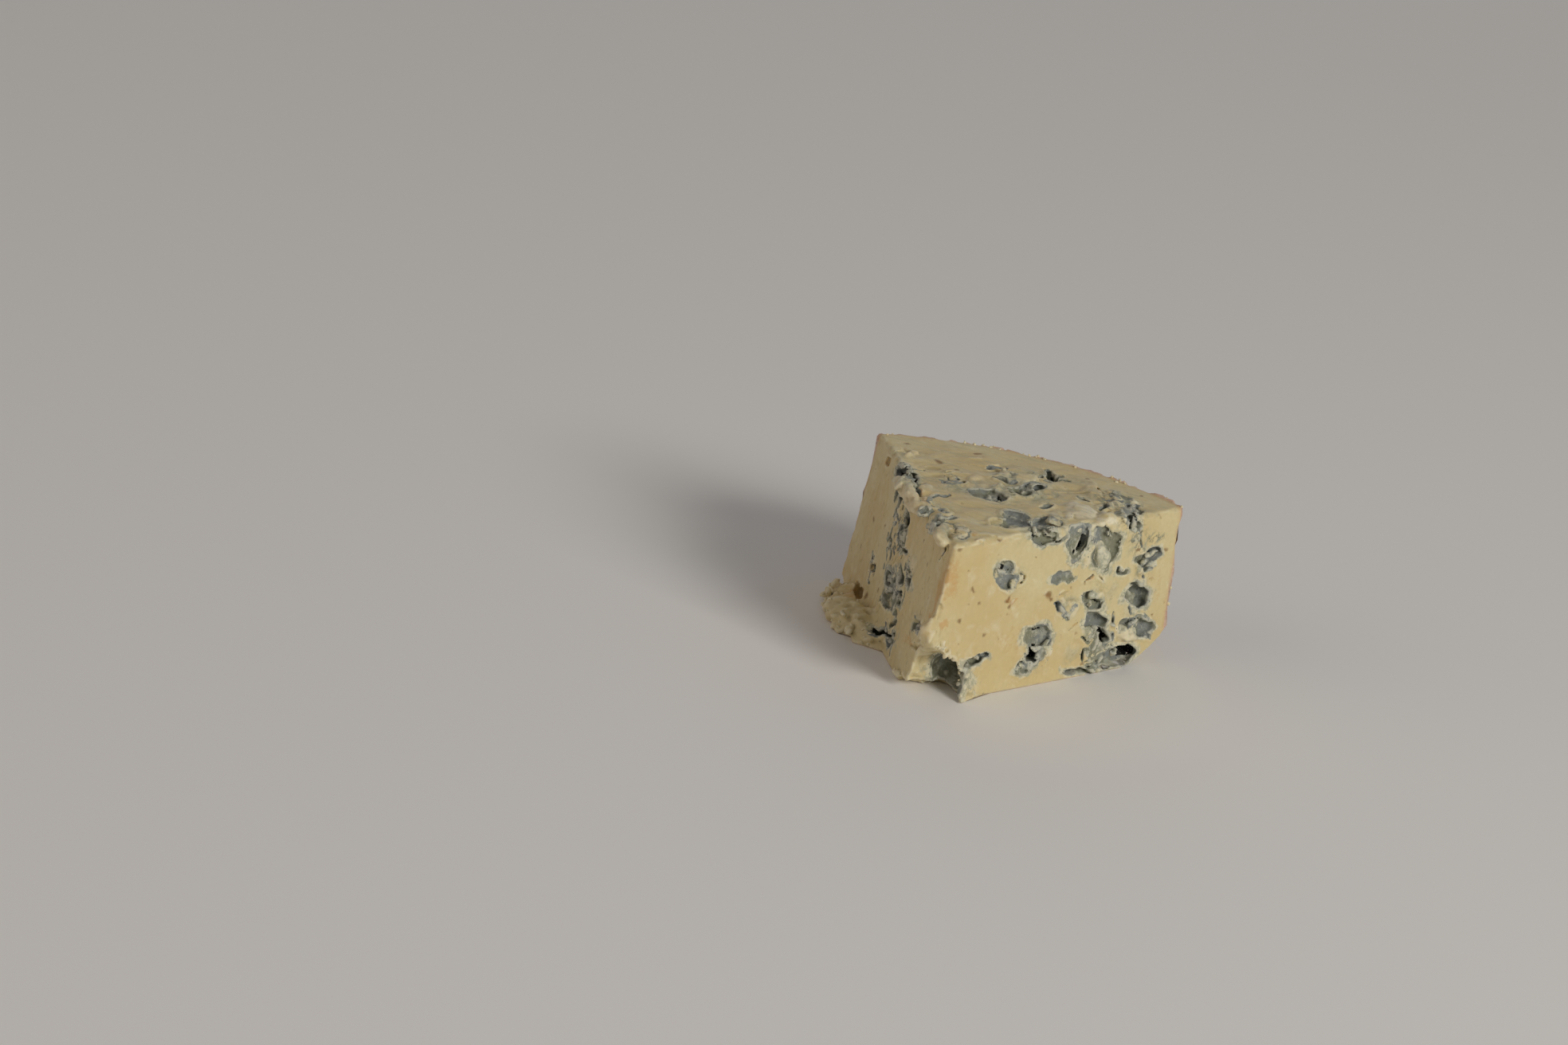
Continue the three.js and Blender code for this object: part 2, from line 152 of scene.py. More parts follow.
# Lumps and scales of paste: then half thickness, how far out their middle lies, mould, and paleness
LOBES = {
    "right": [
        (21, 25, 1.4, 0.8, 0, 0.8, -0.5, 0.1, 0.6), (45.1, 18.6, 2, 0.8, 9, 0.9, -0.2, 0.1, 1),
        (49.9, 9.6, 1.1, 0.8, -24, 1.2, -1.2, 0.2, 0.8), (44.2, 10, 2, 1.4, -41, 1, -0.5, 0.1, 0.8),
        (57, 7.9, 3.6, 1.5, -19, 1.7, -0.7, 0, 0.7), (59, 8.9, 1.6, 1, -24, 1, -0.7, 0.2, 0.9),
        (32.6, 7.7, 1.9, 1.2, -42, 0.9, -0.4, 0.2, 0.9),
        (27.4, 4.9, 1.2, 0.7, -17, 0.9, -0.7, 0.2, 0.9), (52.3, 24.2, 1, 0.7, -10, 0.8, -0.2, 0.1, 0.7),
        (60.6, 26.2, 1.4, 0.5, -3, 0.7, -0.5, 0.5, 0.4),
        (57.9, 23.2, 1.8, 0.7, -74, 0.7, -0.2, 0.2, 0.6), (57.6, 16, 2, 1.4, -29, 1.2, -1.9, 1, 0),
        (40.8, 28.4, 2.2, 1, 62, 1.1, -0.6, 0.4, 0.6), (45.8, 27.7, 2.5, 2.1, -60, 1.4, -0.6, 0, 1),
        (46.8, 35.9, 3.6, 1.1, -11, 1, -0.5, 0, 1), (37.2, 33.9, 0.7, 0.6, 0, 0.8, -0.9, 0.1, 0.9),
        (35.9, 18.2, 1.5, 0.9, -24, 0.8, -0.3, 0, 0.4), (45.5, 22.9, 1.6, 0.9, -14, 0.8, -0.4, 0, 0.5),
        (19.8, 21.2, 0.8, 0.5, 0, 0.6, 0.1, 0, 0.3),
    ],
    "left": [
        (33.8, 25.2, 2.6, 1.2, -12, 1, -0.6, 0.3, 0.4), (23.3, 22.4, 2, 0.9, -16, 0.8, -0.3, 0.2, 0.4),
        (34.8, 14, 1.2, 0.7, -13, 0.9, -0.9, 0.5, 0.2), (28.6, 12.4, 2, 0.8, -20, 0.9, -0.8, 0.4, 0.2),
    ],
    "top": [
        (16.7, 39.4, 4.9, 3, -66, 1.5, -0.5, 0, 1), (21.6, 39.4, 3.6, 1.4, -79, 0.9, -0.3, 0, 0.9),
        (-17.6, 25.6, 8.4, 1.8, -66, 1.8, -0.7, 0, 0.4),
        (-21.6, 35.4, 2.6, 1, -77, 1.5, -0.8, 0.6, 0.2), (-22.2, 31, 3.6, 0.7, -73, 1, -0.3, 0, 0.7),
        (-13, 20.3, 4, 1.4, -75, 1.2, -0.5, 0.3, 0.3), (-8, 9.6, 2.2, 0.8, -75, 1.2, -1, 0.5, 0.5),
        (-4.5, 6.4, 5, 1.6, -77, 1.4, -0.6, 0, 0.3), (-0.7, 7.6, 3, 1.1, -77, 1.1, -0.3, 0.2, 0.9),
        (-2.9, 42.4, 2.4, 1.3, 78, 0.9, -0.3, 0, 0.8), (8.4, 19.6, 2.6, 0.8, 58, 0.9, -0.3, 0, 1),
        (14.9, 34.7, 2.4, 0.9, -80, 0.9, -0.3, 0.1, 0.9),
        (-4.1, 50.8, 4.2, 2.2, 71, 1.1, -0.2, 0.2, 0.6), (0.5, 52.1, 4.2, 2.4, 72, 1.2, -0.2, 0.2, 0.6),
        (15.3, 55.3, 7.4, 2.2, -62, 0.8, -0.3, 0, 0.1), (22.1, 50.2, 4.2, 1.4, 81, 0.9, -0.3, 0, 0.5),
        (-15.4, 30, 2.6, 1.3, -86, 0.8, -0.3, 0, 0.6), (-7.9, 43.6, 2.6, 1.4, -90, 0.8, -0.3, 0, 0.3),
        (-25.6, 49.7, 3.4, 1.1, -70, 0.9, -0.3, 0, 0.3), (13.2, 31.5, 3.4, 1.4, -70, 0.7, -0.2, 0, 0.3),
    ],
}
# Small deep holes: then depth
PITS = {
    "right": [
        (15.6, 28.5, 1.1, 0.4, -10, 2.2), (28.3, 6.9, 2.6, 1.6, -15, 5.5), (25, 4.3, 1, 0.6, -60, 3),
        (26.4, 3.2, 1, 0.5, 10, 2.5), (38.4, 31, 2.3, 1, 55, 5), (36, 29.9, 0.5, 0.5, 0, 2),
        (57.6, 19.3, 1.5, 0.5, -8, 2.6), (48.6, 8.4, 2.7, 1.8, -16, 5.5), (51.6, 8.6, 0.8, 0.5, -67, 3),
        (46, 7.4, 0.5, 0.4, -24, 1.8), (58.6, 2.8, 2.4, 1.4, -20, 5.5), (43.4, 1.4, 1.2, 0.7, 0, 3),
        (34.7, 16.6, 0.5, 0.4, -24, 1.6), (37.1, 15.7, 0.5, 0.4, -24, 1.6),
        (26.8, 35.8, 0.5, 0.4, 0, 2), (25.2, 34.6, 0.5, 0.4, 0, 2),
    ],
    "left": [
        (34.5, 28.2, 1.9, 1.2, 23, 5), (22.4, 19.4, 2.4, 1.4, 17, 5.5), (9.2, 14.2, 1.9, 0.6, -21, 3),
        (30, 22.3, 1.8, 0.7, -17, 3), (27.6, 16.8, 1.6, 1, 5, 3), (25.8, 12.6, 1.5, 0.8, -17, 3),
        (36.6, 14.2, 1.9, 0.7, -70, 2.8), (33, 15, 1.8, 0.7, -80, 2.8), (31, 12.4, 1.8, 0.6, -20, 2.6),
        (33, 3, 2.4, 0.6, -15, 3.5), (22.7, 3.2, 2, 0.6, -20, 3.5), (47.6, 34.4, 1.6, 1.2, -60, 4),
        (43.4, 30, 1, 3, 0, 3), (39.6, 33.6, 0.9, 2.2, -20, 3),
    ],
    "top": [
        (-1.8, 38.1, 2.2, 0.5, -88, 2), (5.2, 58.2, 3, 0.7, -69, 2.6),
        (-23.4, 39.8, 3.4, 1.3, -73, 4.4), (-20.4, 36.6, 1.6, 1.1, 10, 3.4),
        (-19.4, 33.2, 3.4, 1.3, -78, 4.4), (-11.8, 15.6, 2.4, 0.8, -80, 2.6),
        (-12.2, 25.6, 2.2, 0.7, -84, 2), (-7.2, 13, 2.6, 0.9, -80, 3), (13.9, 29.7, 1.2, 0.6, 88, 1.8),
        (21.6, 57.4, 1.2, 0.6, -84, 2), (27.6, 48.8, 1.5, 0.6, -81, 2), (4, 47.6, 1.6, 0.6, 89, 1.8),
    ],
}
# Cracks and creases: half width, depth, mould, then the points of the line
CRACKS = {
    "right": [
        (0.3, 1.2, 1, [(14.8, 28.2), (16.4, 28.3), (18.7, 27.3)]),
        (0.3, 0.9, 0.8, [(19.2, 24.5), (20, 25.4), (20.9, 25.9)]),
        (0.45, 1, 0.9, [(30.1, 24.3), (32.2, 23.5), (36.4, 23.3)]),
        (0.3, 0.6, 0.2, [(32.7, 19.6), (35, 20), (36.9, 20.3)]),
        (0.3, 0.8, 0.8, [(40.4, 19.4), (40.9, 17.4), (42.2, 16.4)]),
        (0.45, 1.8, 0.9, [(43.6, 6.8), (43.8, 4.7)]),
        (0.35, 0.8, 0.6, [(45, 4.7), (48.9, 5.1), (53.2, 4.3)]),
        (0.3, 0.7, 0.5, [(45.7, 3.5), (49.6, 3.7)]), (0.3, 0.7, 0.5, [(47.6, 6.4), (51.3, 6.6)]),
        (0.3, 0.7, 0.3, [(38.7, 12.1), (40.8, 14.1)]),
        (
            0.4, 1.4, 0.9,
            [(24.8, 11.9), (26.3, 12.8), (27.7, 13.3), (29.5, 12.3), (32.7, 9.3), (31.7, 8.3)],
        ),
        (0.5, 2.2, 1, [(25.8, 9.4), (27.4, 8.2), (29.1, 6.9)]), (0.4, 2, 1, [(30.3, 8.2), (29.9, 6.6)]),
        (0.35, 0.9, 0.8, [(50.1, 23.9), (51.3, 22.8), (53, 22.6), (53.5, 24)]),
        (0.4, 1, 0.9, [(58.3, 24.8), (60.1, 25.3), (61.8, 25.9)]),
        (0.35, 0.9, 0.6, [(58.7, 21.6), (59.7, 18.9)]),
        (0.5, 2, 1, [(55.4, 19.5), (57.3, 19.6), (59.7, 18), (61.4, 16.6), (61.3, 14.9)]),
        (0.4, 1.6, 0.5, [(40.8, 22.7), (42.8, 23.7)]), (0.3, 0.6, 0.2, [(44.7, 23.8), (46.3, 22)]),
        (0.35, 0.9, 0.8, [(51.3, 14.1), (52.1, 11.4)]), (0.35, 0.9, 0.8, [(62.5, 6.5), (64, 5.2)]),
    ],
    "left": [
        (0.35, 1.4, 0.9, [(40.8, 31.2), (35.7, 31.3)]), (0.35, 1.2, 0.8, [(43.7, 27.1), (40.3, 25.4)]),
        (0.35, 1.2, 0.8, [(36.8, 25.6), (35.2, 22.9), (32.2, 22.2)]),
        (0.45, 1.6, 0.9, [(42.6, 21.4), (40.1, 20.5), (38.5, 19.1)]),
        (0.3, 1, 0.8, [(32.7, 24.6), (32.8, 22.7)]), (0.3, 0.9, 0.6, [(25.9, 11.2), (23.6, 9.2)]),
        (0.35, 1, 0.7, [(36, 10.8), (36.3, 8.4), (32, 8.7)]),
        (0.4, 1.2, 0.9, [(31.1, 13.2), (27.9, 13), (24.9, 12.4)]),
        (0.4, 1.2, 0.9, [(35.4, 15.6), (37.3, 13.3), (32.7, 13.3), (32.3, 15)]),
        (0.35, 1, 0.9, [(30.1, 17), (30, 15.6), (26.7, 16), (26.5, 17.7)]),
        (0.6, 2, 0.9, [(37.3, 2.5), (32.5, 3), (27.2, 3.7), (22.1, 4.5)]),
        (0.4, 1.4, 0.6, [(5.3, 35.7), (5.7, 33.5), (5.9, 30.5)]),
        (0.4, 0.8, 0.2, [(9.3, 14.2), (5.4, 14.5), (1.6, 15.4)]),
        (0.4, 0.8, 0.1, [(10.5, 8.1), (4.9, 10.9), (1, 12.4)]),
    ],
    "top": [
        (0.5, 1.8, 0.9, [(-24.1, 41.8), (-22.8, 39), (-22.5, 35.4)]),
        (0.4, 1.2, 0.8, [(-22, 39.7), (-19.9, 41.5)]),
        (0.5, 1.8, 0.9, [(-21.8, 39.9), (-19.8, 35.2), (-19.2, 31.9), (-17.4, 29.6), (-14.8, 24.3)]),
        (0.45, 1.4, 0.8, [(-11.6, 12.2), (-12.4, 16.5), (-12.1, 17.9)]),
        (0.45, 1.4, 0.8, [(-11.7, 19.5), (-12.3, 23.3), (-12.4, 27.7), (-10.5, 29.9)]),
        (0.35, 0.7, 0.4, [(-15.5, 42.8), (-13.5, 45.9), (-10.4, 45.4)]),
        (
            0.35, 1, 0.7,
            [(-14.6, 41), (-12.8, 39.3), (-10.7, 38.6), (-9.4, 40.4), (-11, 41.5), (-13.3, 42.2)],
        ),
        (0.45, 1.4, 0.9, [(-7, 10.1), (-7.4, 13.3), (-7.2, 15.4), (-5, 15.4)]),
        (0.35, 1, 0.7, [(-6.8, 6), (-6.8, 9)]),
        (0.6, 1.2, 0.9, [(-7.9, 52.1), (-7.2, 54.7), (-4.8, 56.7)]),
        (0.55, 1, 0.9, [(-3.7, 53.1), (-1.7, 54.9), (0.6, 56.2)]),
        (0.5, 1, 0.8, [(-6.2, 46.8), (-3.3, 47), (-0.3, 48)]),
        (0.6, 1.4, 0.6, [(2.5, 61.8), (4.3, 60.1), (6.7, 55.6)]),
        (0.35, 0.8, 0.9, [(8.6, 21), (9, 24.7), (8.5, 28.2)]),
        (0.4, 1.1, 0.8, [(13.4, 48.6), (15.3, 48.3), (17.6, 47.2)]),
        (0.4, 1.2, 0.8, [(20, 43.6), (20.7, 47.3), (21.5, 50.5)]),
        (0.4, 1.2, 0.8, [(20.8, 53.7), (21.5, 58.1)]),
        (0.35, 0.9, 0.8, [(24.5, 50.6), (26.6, 49.8), (28, 48.5)]),
        (0.35, 0.8, 0.3, [(15.4, 58.7), (17.9, 55), (19.9, 51.7)]),
        (0.4, 1, 0.4, [(20.6, 42.2), (22.1, 44.7), (24.4, 45.5)]),
    ],
}
# Where small curds crowd, some of them mouldy: then how many, and how far out their middles lie
CURD_CROWDS = {
    "right": [
        (19.8, 25.2, 1.6, 1, -35, 3, -0.4), (35.8, 16.8, 2.4, 1.2, -11, 6, -0.4),
        (44.4, 16.8, 3.4, 1.4, -12, 4, -0.8), (48.3, 5.4, 4.2, 2.2, -14, 16, -0.3),
        (52, 10.4, 1.6, 3, 0, 5, -0.3), (26, 4.2, 2.4, 1.6, -20, 7, -0.9),
        (47, 2.2, 2.4, 1.2, -14, 6, -0.5), (31.4, 5.4, 2, 3, 0, 6, -0.2),
        (54.6, 33, 3, 2, -55, 6, -0.2), (26.6, 35, 3.6, 1.8, -14, 4, -1.3),
        (60, 9.4, 3, 2, -43, 5, -0.8), (60, 23.4, 2, 2, 0, 4, -0.4),
    ],
    "left": [
        (34, 14.6, 4, 3, -13, 7, -0.9), (28.6, 12.4, 5, 2, -20, 9, -0.8),
        (24, 21.6, 2.4, 3, 0, 5, -0.3), (34, 26, 3.4, 3, 0, 6, -0.8), (24, 3.6, 8, 2, -15, 9, -0.8),
        (9.4, 13.4, 3, 1.4, -21, 5, -1.2),
    ],
    "top": [
        (12.8, 27, 4, 2.6, 83, 4, -1.1), (-21.4, 36, 4, 1.6, -77, 7, -0.8),
        (-7.6, 11, 4, 1.4, -75, 6, -0.8), (-13, 20, 4, 1.6, -75, 5, -0.2),
        (26.4, 49.6, 4.4, 1.8, -78, 8, -0.4), (22, 55, 4, 2.4, -70, 6, -0.2),
        (3, 45.4, 4.6, 1.8, 71, 6, -0.7), (-3, 37, 3, 2, 60, 4, -0.9),
    ],
}
# Patches where veins of mould marble the paste: then their strength
MARBLING = {
    "right": [
        (48.7, 5.3, 5.6, 3, -14, 1), (45, 10, 3.6, 2.6, -30, 0.9), (58.6, 14, 5, 5, 0, 0.5),
        (46, 20, 7, 4.5, -10, 0.45), (36, 18, 4.5, 3.5, -30, 0.6), (45, 30, 9, 6, -40, 0.5),
        (56, 31, 8, 5, -50, 0.9), (61.6, 30.4, 4, 2.6, -12, 1), (57.6, 33, 4, 2.4, -40, 0.9),
        (58.5, 23, 4, 5.5, 0, 0.7), (30, 8.4, 7, 6, -30, 0.5), (18.5, 26, 6, 4, -20, 0.3),
        (41, 5, 5, 3, 0, 0.4), (10.4, 3.2, 1.6, 5, 0, 0.8), (60, 9, 5, 4, 0, 0.5),
        (26, 34, 7, 3, -14, 0.6),
    ],
    "left": [
        (36, 25, 5, 12, 0, 1.3), (31, 14, 8, 6, -15, 1.3), (45, 32, 9, 5, 0, 0.9),
        (24, 6, 12, 5, 0, 0.7), (24, 21, 4, 5, 0, 0.6), (48, 12, 4, 5, 0, 0.35), (10, 14, 6, 4, 0, 0.5),
    ],
    "top": [
        (-10, 38, 12, 8, 30, 0.7), (-2, 52, 9, 5, 60, 1), (3, 44, 16, 9, 40, 0.8),
        (-20, 34, 10, 6, -60, 0.8), (-10, 20, 9, 5, -60, 0.6), (8, 24, 10, 8, 60, 0.7),
        (22, 50, 12, 9, -60, 0.9), (6, 58, 12, 4, 10, 0.5), (-4, 9, 8, 5, -60, 0.6),
        (26, 44, 8, 4, -75, 0.7), (23, 55, 5, 3.4, -70, 1),
    ],
}
# Patches of ochre and brown: then their strength
WARM = {
    "right": [
        (18.3, 21.9, 1.4, 0.7, -11, 1), (20, 21, 2, 0.9, -3, 1), (21, 12.5, 10, 8, -20, 0.4),
        (64, 20, 3.5, 14, 0, 0.35), (39.6, 13.3, 2.2, 0.8, 40, 0.6), (30.4, 19.8, 1.2, 0.6, 0, 0.6),
        (42, 23, 2, 1.2, 5, 0.8), (29.4, 20.4, 2, 1.5, -49, 0.6), (1, 26, 1.6, 9, 0, 0.35),
        (0.5, 18, 2.4, 3, -20, 0.8),
    ],
    "left": [
        (1, 26, 2.6, 11, 0, 0.8), (2, 17, 3.4, 4, 0, 1), (40, 22, 14, 16, 0, 0.3),
        (57, 33, 3, 2, 0, 0.9), (51.8, 2.6, 4.4, 3.2, 0, 1), (49, 12, 4, 2.4, 0, 0.6),
        (12, 9, 7, 3, 0, 0.6), (60, 20, 8, 14, 0, 0.35),
    ],
    "top": [
        (-12.8, 22, 4, 2, -70, 0.7), (3.4, 18.6, 4, 1.4, 60, 0.6), (1.4, 8.4, 2, 1, -80, 0.9),
        (-26, 50, 8, 3, -60, 0.4), (-15.6, 27, 4, 1.2, -66, 0.7),
    ],
}
# Brown specks: then their radius
SPECKS = {
    "right": [
        (7.5, 24.8, 0.5), (9.3, 21.2, 0.4), (4.2, 18.6, 0.5), (5.6, 29.9, 0.4), (1.2, 34.2, 0.5),
        (13.5, 36, 0.4), (18.1, 22, 0.6), (17.2, 21.6, 0.4), (19, 20.3, 0.5), (29.5, 20.8, 0.9),
        (30.4, 19.6, 0.6), (43.6, 3.6, 0.5), (57, 28.4, 0.5), (64.4, 26.4, 0.5), (64.8, 11.6, 0.5),
        (25, 30, 0.3), (12, 15, 0.3), (50.6, 18.6, 0.4),
    ],
    "left": [
        (14, 27, 0.6), (20, 30, 0.4), (56, 20, 0.6), (40, 10, 0.6), (60, 12, 0.5), (48.3, 21.7, 0.5),
        (46.7, 5.3, 1), (24.8, 7.6, 0.7),
    ],
    "top": [
        (-18.4, 49.4, 0.8), (-12.8, 61, 0.8), (12, 62, 0.6), (-13.2, 47.4, 0.6), (25, 60, 0.5),
        (-28, 56, 0.6),
    ],
}
# The torn ledge at the foot of the left face and the lip torn over the tip: centre x, y, z, radii
LEDGE = [
    (-33.6, 47, 0, 2.6, 4.6, 1.8), (-33, 44.4, 0.2, 3.6, 4, 2.3), (-31.6, 41.6, 0.2, 4.6, 4.6, 2.9),
    (-31.2, 38.4, 0.2, 5.2, 4.2, 3.1), (-30, 35, 0.3, 5.4, 4.8, 3.5), (-28.2, 32, 0.2, 5, 4.2, 3.7),
    (-26, 29.6, 0.3, 4.6, 4.2, 4), (-20.6, 25.4, 0.5, 3.6, 4.4, 3.6),
]
LEDGE_BLEND = 2.4
TORN_LIP = (-1.4, -2.6, 16.4, 2, 2.6, 2.8)
TORN_LIP_BLEND = 2.0
# What broke away under the tip, with the smooth cavity behind it, and the flake left hanging there
BREAKS = [
    (0.8, -6, 2, 8.5, 14.5, 11.8), (-2, 2, 0, 9, 10, 3),
]
TIP_CAVITY = (2, 7.2, 4.8, 4.2, 5.4, 4.4)
TONGUE = (6, 7.8, 1.4, 1.2, 2.6, 3.2)
# Lines in space along which small curds cling: points, how many, their spread and largest size
CURD_LINES = [
    ([(-36, 50, 0.8), (-36, 43, 1.6), (-34.5, 35, 2), (-29.5, 28, 2.4), (-22.5, 22, 2)], 34, 1.1, 1.3),
    (
        [(-1, -2.4, 15), (0.5, -0.7, 14.1), (1.6, 0.9, 12.4), (2.7, 2.8, 11.2), (3.7, 4.2, 9.9)],
        22, 0.3, 0.8,
    ),
    ([(3.7, 4.2, 9.9), (4.9, 6.3, 9.5), (6.6, 9.1, 8.9)], 8, 0.25, 0.7),
    ([(-9.5, 7.5, 2), (-7.5, 9.5, 1.4), (-4, 11, 0.8)], 14, 0.6, 0.9),
    ([(5.6, 7.4, 7), (5.4, 6.8, 4), (5.6, 6.6, 1)], 14, 0.4, 0.8),
]
# Where fine slits crowd: a place on a face, half length and width, turn, how many, and their own turn
SLIT_CROWDS = {
    "left": [
        (33, 26, 3, 9, 0, 22, 88), (31, 15, 6, 4, -15, 26, 80), (44, 33, 6, 3, -10, 8, 85),
        (40, 22, 3, 6, 0, 9, 88), (42, 29, 2, 5, 0, 12, 88), (22, 5, 7, 3, 0, 10, 50),
        (48, 12, 2.5, 3, 0, 7, 75), (9, 14.5, 3, 2, 0, 5, 30),
    ],
    "right": [
        (47.5, 7, 5, 3, -25, 14, -20), (44.4, 17.4, 4, 1.8, -15, 2, -10),
        (35.8, 16.8, 3, 1.6, -20, 6, -20), (59, 13, 4, 3.4, 0, 7, -30), (27, 5, 3, 2.4, 0, 8, -30),
        (55, 32.6, 4, 2.4, -50, 8, -40), (26.6, 35, 4, 1.6, -14, 8, 40),
    ],
    "top": [
        (-11.8, 39.9, 3.4, 1.4, 60, 5, 42), (3, 44.5, 5, 2, 60, 10, 40), (-21, 36, 5, 2, -70, 12, -60),
        (-10, 18, 4, 2, -70, 7, 30), (22, 54, 7, 4, -65, 7, 40), (-5, 10, 4, 2, -70, 7, 40),
        (26, 46, 5, 2, -80, 6, 40), (4, 56, 8, 2, 20, 7, 40),
    ],
}


# ---------------------------------------------------------------- random fields
def smooth_step(low, high, value):
    share = np.clip((value - low) / (high - low), 0, 1)
    return share * share * (3 - 2 * share)


def between(lattice, corner, share):
    """What a lattice holds at places given by a corner and shares of the step from it."""
    total = 0
    for step in product((0, 1), repeat=3):
        weight = 1
        for part, up in zip(share, step):
            weight = weight * (part if up else 1 - part)
        spot = tuple((c + up) % n for c, up, n in zip(corner, step, lattice.shape))
        total = total + weight * lattice[spot]
    return total


def ripple(place, size, seed):
    """A smooth random field of about -1 to 1, with bumps of the given size in mm."""
    count = 32
    most = 1.6  # the blend between the lattice's values brings them down to about 1
    lattice = np.random.default_rng(seed).uniform(-most, most, (count, count, count))
    lattice = lattice.astype(np.float32)
    corner, share = [], []
    for value in place:
        scaled = value / size
        whole = np.floor(scaled)
        part = scaled - whole
        corner.append(whole.astype(np.int32))
        share.append(part * part * (3 - 2 * part))
    return between(lattice, corner, share)


def ripples(place, *waves, start=0):
    """Ripples added up: how strong each is, its size and its seed."""
    return sum((strength * ripple(place, size, seed) for strength, size, seed in waves), start)


def scales(place, *waves):
    """Thin scales: a value that climbs from 0 to 1 over the ripples and drops back in a step."""
    climb = ripples(place, *waves)
    return climb - np.floor(climb)


def stray(place):
    """The place moved a little at random, so that round shapes come out uneven."""
    moved = []
    for axis, value in enumerate(place):
        waves = [(0.8, 4.2, 40 + axis), (0.42, 1.6, 50 + axis)]
        moved.append(ripples(place, *waves, start=value))
    return moved


def drawn_out(place):
    """The place in axes along and across the top's grain, squeezed along it."""
    x, y, z = place
    along = TOP_GRAIN[0] * x + TOP_GRAIN[1] * y
    across = TOP_GRAIN[0] * y - TOP_GRAIN[1] * x
    return [along / TOP_STRETCH, across, z]


# ---------------------------------------------------------------- faces
def cut_out(face, place):
    """How far a place stands out of a cut face."""
    side, flare = SIDES[face]
    x, y, z = place
    return side * x * COSINE - y * SINE - flare * (1 - z / HEIGHT)


def rind_out(place):
    return np.hypot(place[0], place[1] - WHEEL_CENTRE_Y) - WHEEL_RADIUS


def base_out(place):
    """How far a place stands under the base, which turns up into the rind over a shoulder."""
    x, y, z = place
    radius = np.hypot(x, y - WHEEL_CENTRE_Y)
    share = np.clip((radius - WHEEL_RADIUS + SHOULDER_REACH) / SHOULDER_REACH, 0, 1)
    lift = 1 - (1 - share ** SHOULDER_POWER) ** (1 / SHOULDER_POWER)
    across = np.clip(0.5 + x / (2 * WHEEL_RADIUS * SINE), 0, 1)
    rise = LEFT_SHOULDER_RISE + (SHOULDER_RISE - LEFT_SHOULDER_RISE) * across
    return (rise * lift - z) / (1 + SHOULDER_SLOPE * share)


def sides_out(place):
    """How far a place stands out of the cut faces and the rind."""
    cut_faces = np.maximum(cut_out("right", place), cut_out("left", place))
    return np.maximum(cut_faces, rind_out(place))


def face_place(face, place):
    """A place as how far along a face it is, how far across it, and how far out of it."""
    x, y, z = place
    if face in SIDES:
        return SIDES[face][0] * x * SINE + y * COSINE, z, cut_out(face, place)
    return x, y, {"top": z - HEIGHT, "base": -z, "space": z}[face]


def face_spot(face, along, across, out):
    """The point in space with these coordinates on a face."""
    if face not in SIDES:
        return np.array([along, across, {"top": HEIGHT + out, "base": -out, "space": out}[face]])
    side, flare = SIDES[face]
    out = out + flare * (1 - across / HEIGHT)
    return np.array([side * (along * SINE + out * COSINE), along * COSINE - out * SINE, across])


def strayed(face, place):
    """A place on a face, moved at random along the face but hardly in or out of it."""
    along, across, out = face_place(face, stray(place))
    if face == "space":
        return along, across, out
    return along, across, OUT_STRAY * out + (1 - OUT_STRAY) * face_place(face, place)[2]


# ---------------------------------------------------------------- forms set on the faces
class Lump:
    """A rounded lump with its middle, half sizes and turn given on a face.

    A power above 2 squares it off.
    """

    def __init__(self, face, middle, radii, turn=0, mould=0, pale=0, power=2):
        self.face = face
        self.middle = middle
        self.radii = radii
        self.turn = math.radians(turn)
        self.mould = mould
        self.pale = pale
        self.power = power
        self.centre = face_spot(face, *middle)
        self.reach = max(radii)

    def offsets(self, place):
        along, across, out = (v - m for v, m in zip(strayed(self.face, place), self.middle))
        run = along * math.cos(self.turn) + across * math.sin(self.turn)
        side = across * math.cos(self.turn) - along * math.sin(self.turn)
        return [np.abs(offset) + TINY for offset in (run, side, out)]

    def size_at(self, offsets):
        return sum((o / r) ** self.power for o, r in zip(offsets, self.radii)) ** (1 / self.power)

    def nearness(self, place):
        """0 at the middle, 1 on the surface, more outside it."""
        return self.size_at(self.offsets(place))

    def distance(self, place):
        offsets = self.offsets(place)
        size = self.size_at(offsets)
        steps = [(o / (r * size)) ** (self.power - 1) / r for o, r in zip(offsets, self.radii)]
        return (size - 1) / np.sqrt(sum(step ** 2 for step in steps))


class Crack:
    """A groove along a line of points on a face, thin at its ends."""

    def __init__(self, face, half_width, depth, mould, points):
        self.face = face
        self.half_width = half_width
        self.depth = depth
        self.mould = mould
        self.points = np.array(points, float)
        middle = self.points.mean(0)
        self.centre = face_spot(face, *middle, 0)
        self.reach = np.linalg.norm(self.points - middle, axis=1).max() + depth

    def nearness(self, place):
        along, across, out = strayed(self.face, place)
        nearest = np.full_like(along, np.inf)
        travelled = np.zeros_like(along)
        passed = 0
        for start, stop in zip(self.points[:-1], self.points[1:]):
            step = stop - start
            length = np.linalg.norm(step)
            share = ((along - start[0]) * step[0] + (across - start[1]) * step[1]) / length ** 2
            share = np.clip(share, 0, 1)
            gap = np.hypot(along - start[0] - share * step[0], across - start[1] - share * step[1])
            travelled = np.where(gap < nearest, passed + share * length, travelled)
            nearest = np.minimum(nearest, gap)
            passed += length
        taper = 0.5 + 0.5 * np.sin(math.pi * travelled / passed)
        return np.sqrt((nearest / self.half_width) ** 2 + (out / self.depth) ** 2) / taper

    def distance(self, place):
        return (self.nearness(place) - 1) * self.half_width


def hollow(face, row):
    along, across, half_long, half_wide, turn, depth, mould = row
    radii = (half_long, half_wide, depth)
    return Lump(face, (along, across, -HOLLOW_SINK * depth), radii, turn, mould, power=HOLLOW_POWER)


